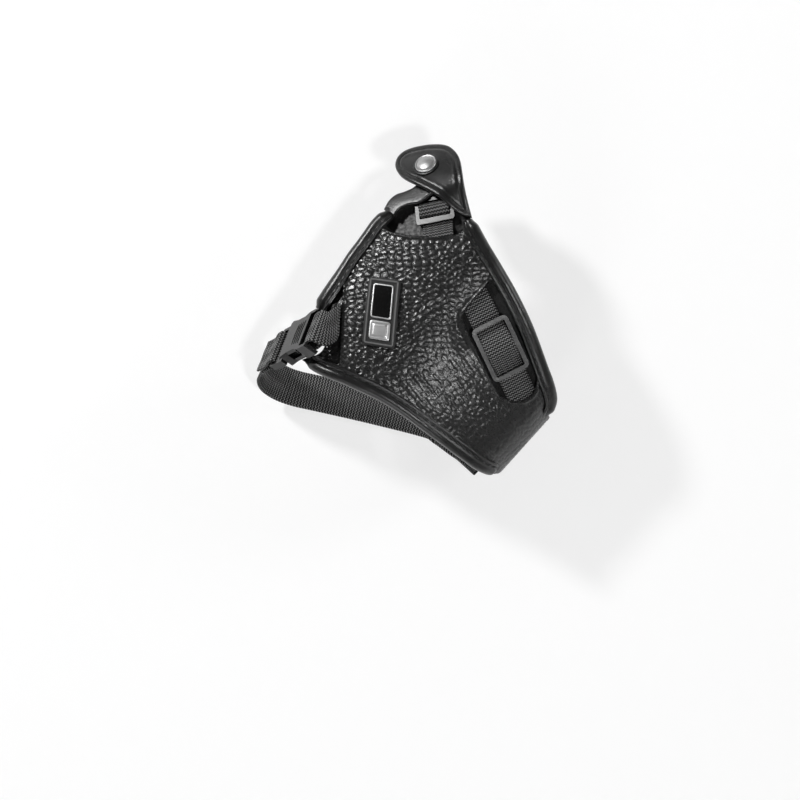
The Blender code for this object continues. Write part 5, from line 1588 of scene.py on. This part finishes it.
# Buckle details

moulding = {"ridges": 4, "ridgeEvery": 1.5, "ridgeRise": 0.30}


def addBar(name, x, half, wide, rise, high, power, bow, body):
    # A raised bar across the buckle with rounded ends, bowed towards the clip
    axes, origin = buckleAxes()
    angles = roundTurn(12)
    rings = []
    for share in np.linspace(-1, 1, 21):
        fade = math.sqrt(max(0.02, 1 - abs(share) ** power))
        rings.append(np.stack([x + wide * fade * np.cos(angles) + bow * (1 - share ** 2),
                               np.full(12, half * share), high + rise * fade * np.sin(angles)], axis=1))
    piece = addSweep(name, inFrame(np.array(rings), axes, origin), plastic, body=body)


def buckleDetails():
    # Ridges across the socket's outer face, and a grip bar on the clip behind the socket's mouth
    v, w = buckle, moulding
    for k in range(w["ridges"]):
        addBar(f"socket_ridge_{k + 1}", 7.6 + k * w["ridgeEvery"], 6.2 - 0.25 * k, 0.45, w["ridgeRise"],
               v["socketThick"] / 2 - 0.05, 6, 0.45, "strap")
    addBar("clip_grip_bar", v["socketLength"] + gap + 2.0, 8.0, 1.0, 0.5, v["clipThick"] / 2, 8, 0.0, "clip")


cover()
thumbPanel()
innerLayers()
print("pad made")
binding("thumb_binding_roll", "thumb_binding", longer(edge("thumbEdge", bindingLook["step"]), 1.6, 2.2))
binding("wrist_binding_roll", "wrist_binding", edge("wristEdge", bindingLook["step"])[3:])
binding("knuckle_binding_roll", "knuckle_binding", longer(edge("knuckleEdge", bindingLook["step"]), 0, 0.6))
print("bindings made")
collar()
collarUnderlay()
snap()
gripFrames = gripTape()
lugTape()
buckleFrames = buckleTape()
wristPiece = wristTape()
buckleRun = buckleFrames[3][-1]
boxStitch("buckle_webbing_stitches", buckleFrames, buckleRun - 6.0, buckleRun - 1.2, 5.6, -1)
boxStitch("grip_tail_stitches", gripFrames, gripFrames[3][-1] - 10.0, gripFrames[3][-1] - 2.0, 4.6, 1)
print("webbing made")
workedSolids()
badge()
platePieces()
buckleDetails()
print("fittings made")

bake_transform(wristPiece)


# Camera straight above, floor, walls and lamps

photo = {"middle": (-2.4, -36.35), "distance": 1200.0, "crown": 55.0, "lens": 135.0, "sensor": 36.0}


def camera():
    data = bpy.data.cameras.new("camera")
    data.lens, data.sensor_width = photo["lens"], photo["sensor"]
    data.clip_start, data.clip_end = 0.05, 20.0
    made = placed("camera", data)
    made.location = (photo["middle"][0] * metres, photo["middle"][1] * metres,
                     (photo["crown"] + photo["distance"]) * metres)
    bpy.context.scene.camera = made


studio = {"floorRadius": 1.6, "wallRadius": 0.5, "wallHeight": 2.0, "floorColour": 0.93, "shadowKept": 0.40,
          "world": 0.10}


def studioFloor():
    # A pale floor that turns up into a round wall
    v = studio
    profile = [(0.0005, 0.0), (v["floorRadius"] * 0.5, 0.0), (v["floorRadius"], 0.0)]
    for k in range(1, 9):
        angle = math.pi / 2 * k / 8
        profile.append((v["floorRadius"] + v["wallRadius"] * math.sin(angle),
                        v["wallRadius"] * (1 - math.cos(angle))))
    profile.append((v["floorRadius"] + v["wallRadius"], v["wallHeight"]))
    sides = 64
    points = [(r * math.cos(2 * math.pi * k / sides), r * math.sin(2 * math.pi * k / sides), z)
              for r, z in profile for k in range(sides)]
    faces = [(row * sides + k, row * sides + (k + 1) % sides, (row + 1) * sides + (k + 1) % sides,
              (row + 1) * sides + k) for row in range(len(profile) - 1) for k in range(sides)]
    faces.append(tuple(range(sides)))
    mesh = bpy.data.meshes.new("floor")
    mesh.from_pydata(points, [], faces)
    mesh.shade_smooth()
    m = Finish("paleFloor", {"Base Color": grey(v["floorColour"]), "Roughness": 0.9,
                             "Specular IOR Level": 0.0})
    glow = m.node("ShaderNodeEmission", {}, {"Color": (1, 1, 1, 1), "Strength": 1.0}, "Emission")
    seen = m.node("ShaderNodeLightPath", {}, {}, "Is Camera Ray")
    output = next(n for n in m.tree.nodes if n.type == "OUTPUT_MATERIAL")
    mix = m.tree.nodes.new("ShaderNodeMixShader")
    m.join(mix.inputs[0], seen * (1 - v["shadowKept"]))
    m.tree.links.new(m.shader.outputs[0], mix.inputs[1])
    m.tree.links.new(glow.socket, mix.inputs[2])
    m.tree.links.new(mix.outputs[0], output.inputs["Surface"])
    mesh.materials.append(m.material)
    floor = placed("floor", mesh)


lamps = {
    "key": {"place": (-0.69, 0.62, 0.65), "size": 0.12, "power": 9.5},
    "top": {"place": (0.33, -0.30, 1.32), "size": 0.12, "power": 6.0},
    "rim": {"place": (0.95, 0.35, 0.45), "size": 0.35, "power": 2.6},
    "front": {"place": (-0.35, -0.95, 0.55), "size": 0.40, "power": 2.2},
}


def light():
    for name, v in lamps.items():
        data = bpy.data.lights.new(name, "AREA")
        data.shape, data.size, data.energy = "DISK", v["size"], v["power"]
        lamp = placed(name, data)
        lamp.location = v["place"]
        lamp.rotation_euler = (Vector((0, 0, 0.04)) - lamp.location).to_track_quat("-Z", "Y").to_euler()
    world = bpy.data.worlds.new("studio")
    world.use_nodes = True
    background = world.node_tree.nodes["Background"]
    background.inputs["Color"].default_value = (1, 1, 1, 1)
    background.inputs["Strength"].default_value = studio["world"]
    bpy.context.scene.world = world
    bpy.context.scene.view_settings.view_transform = "Standard"


camera()
studioFloor()
light()
print("studio made")
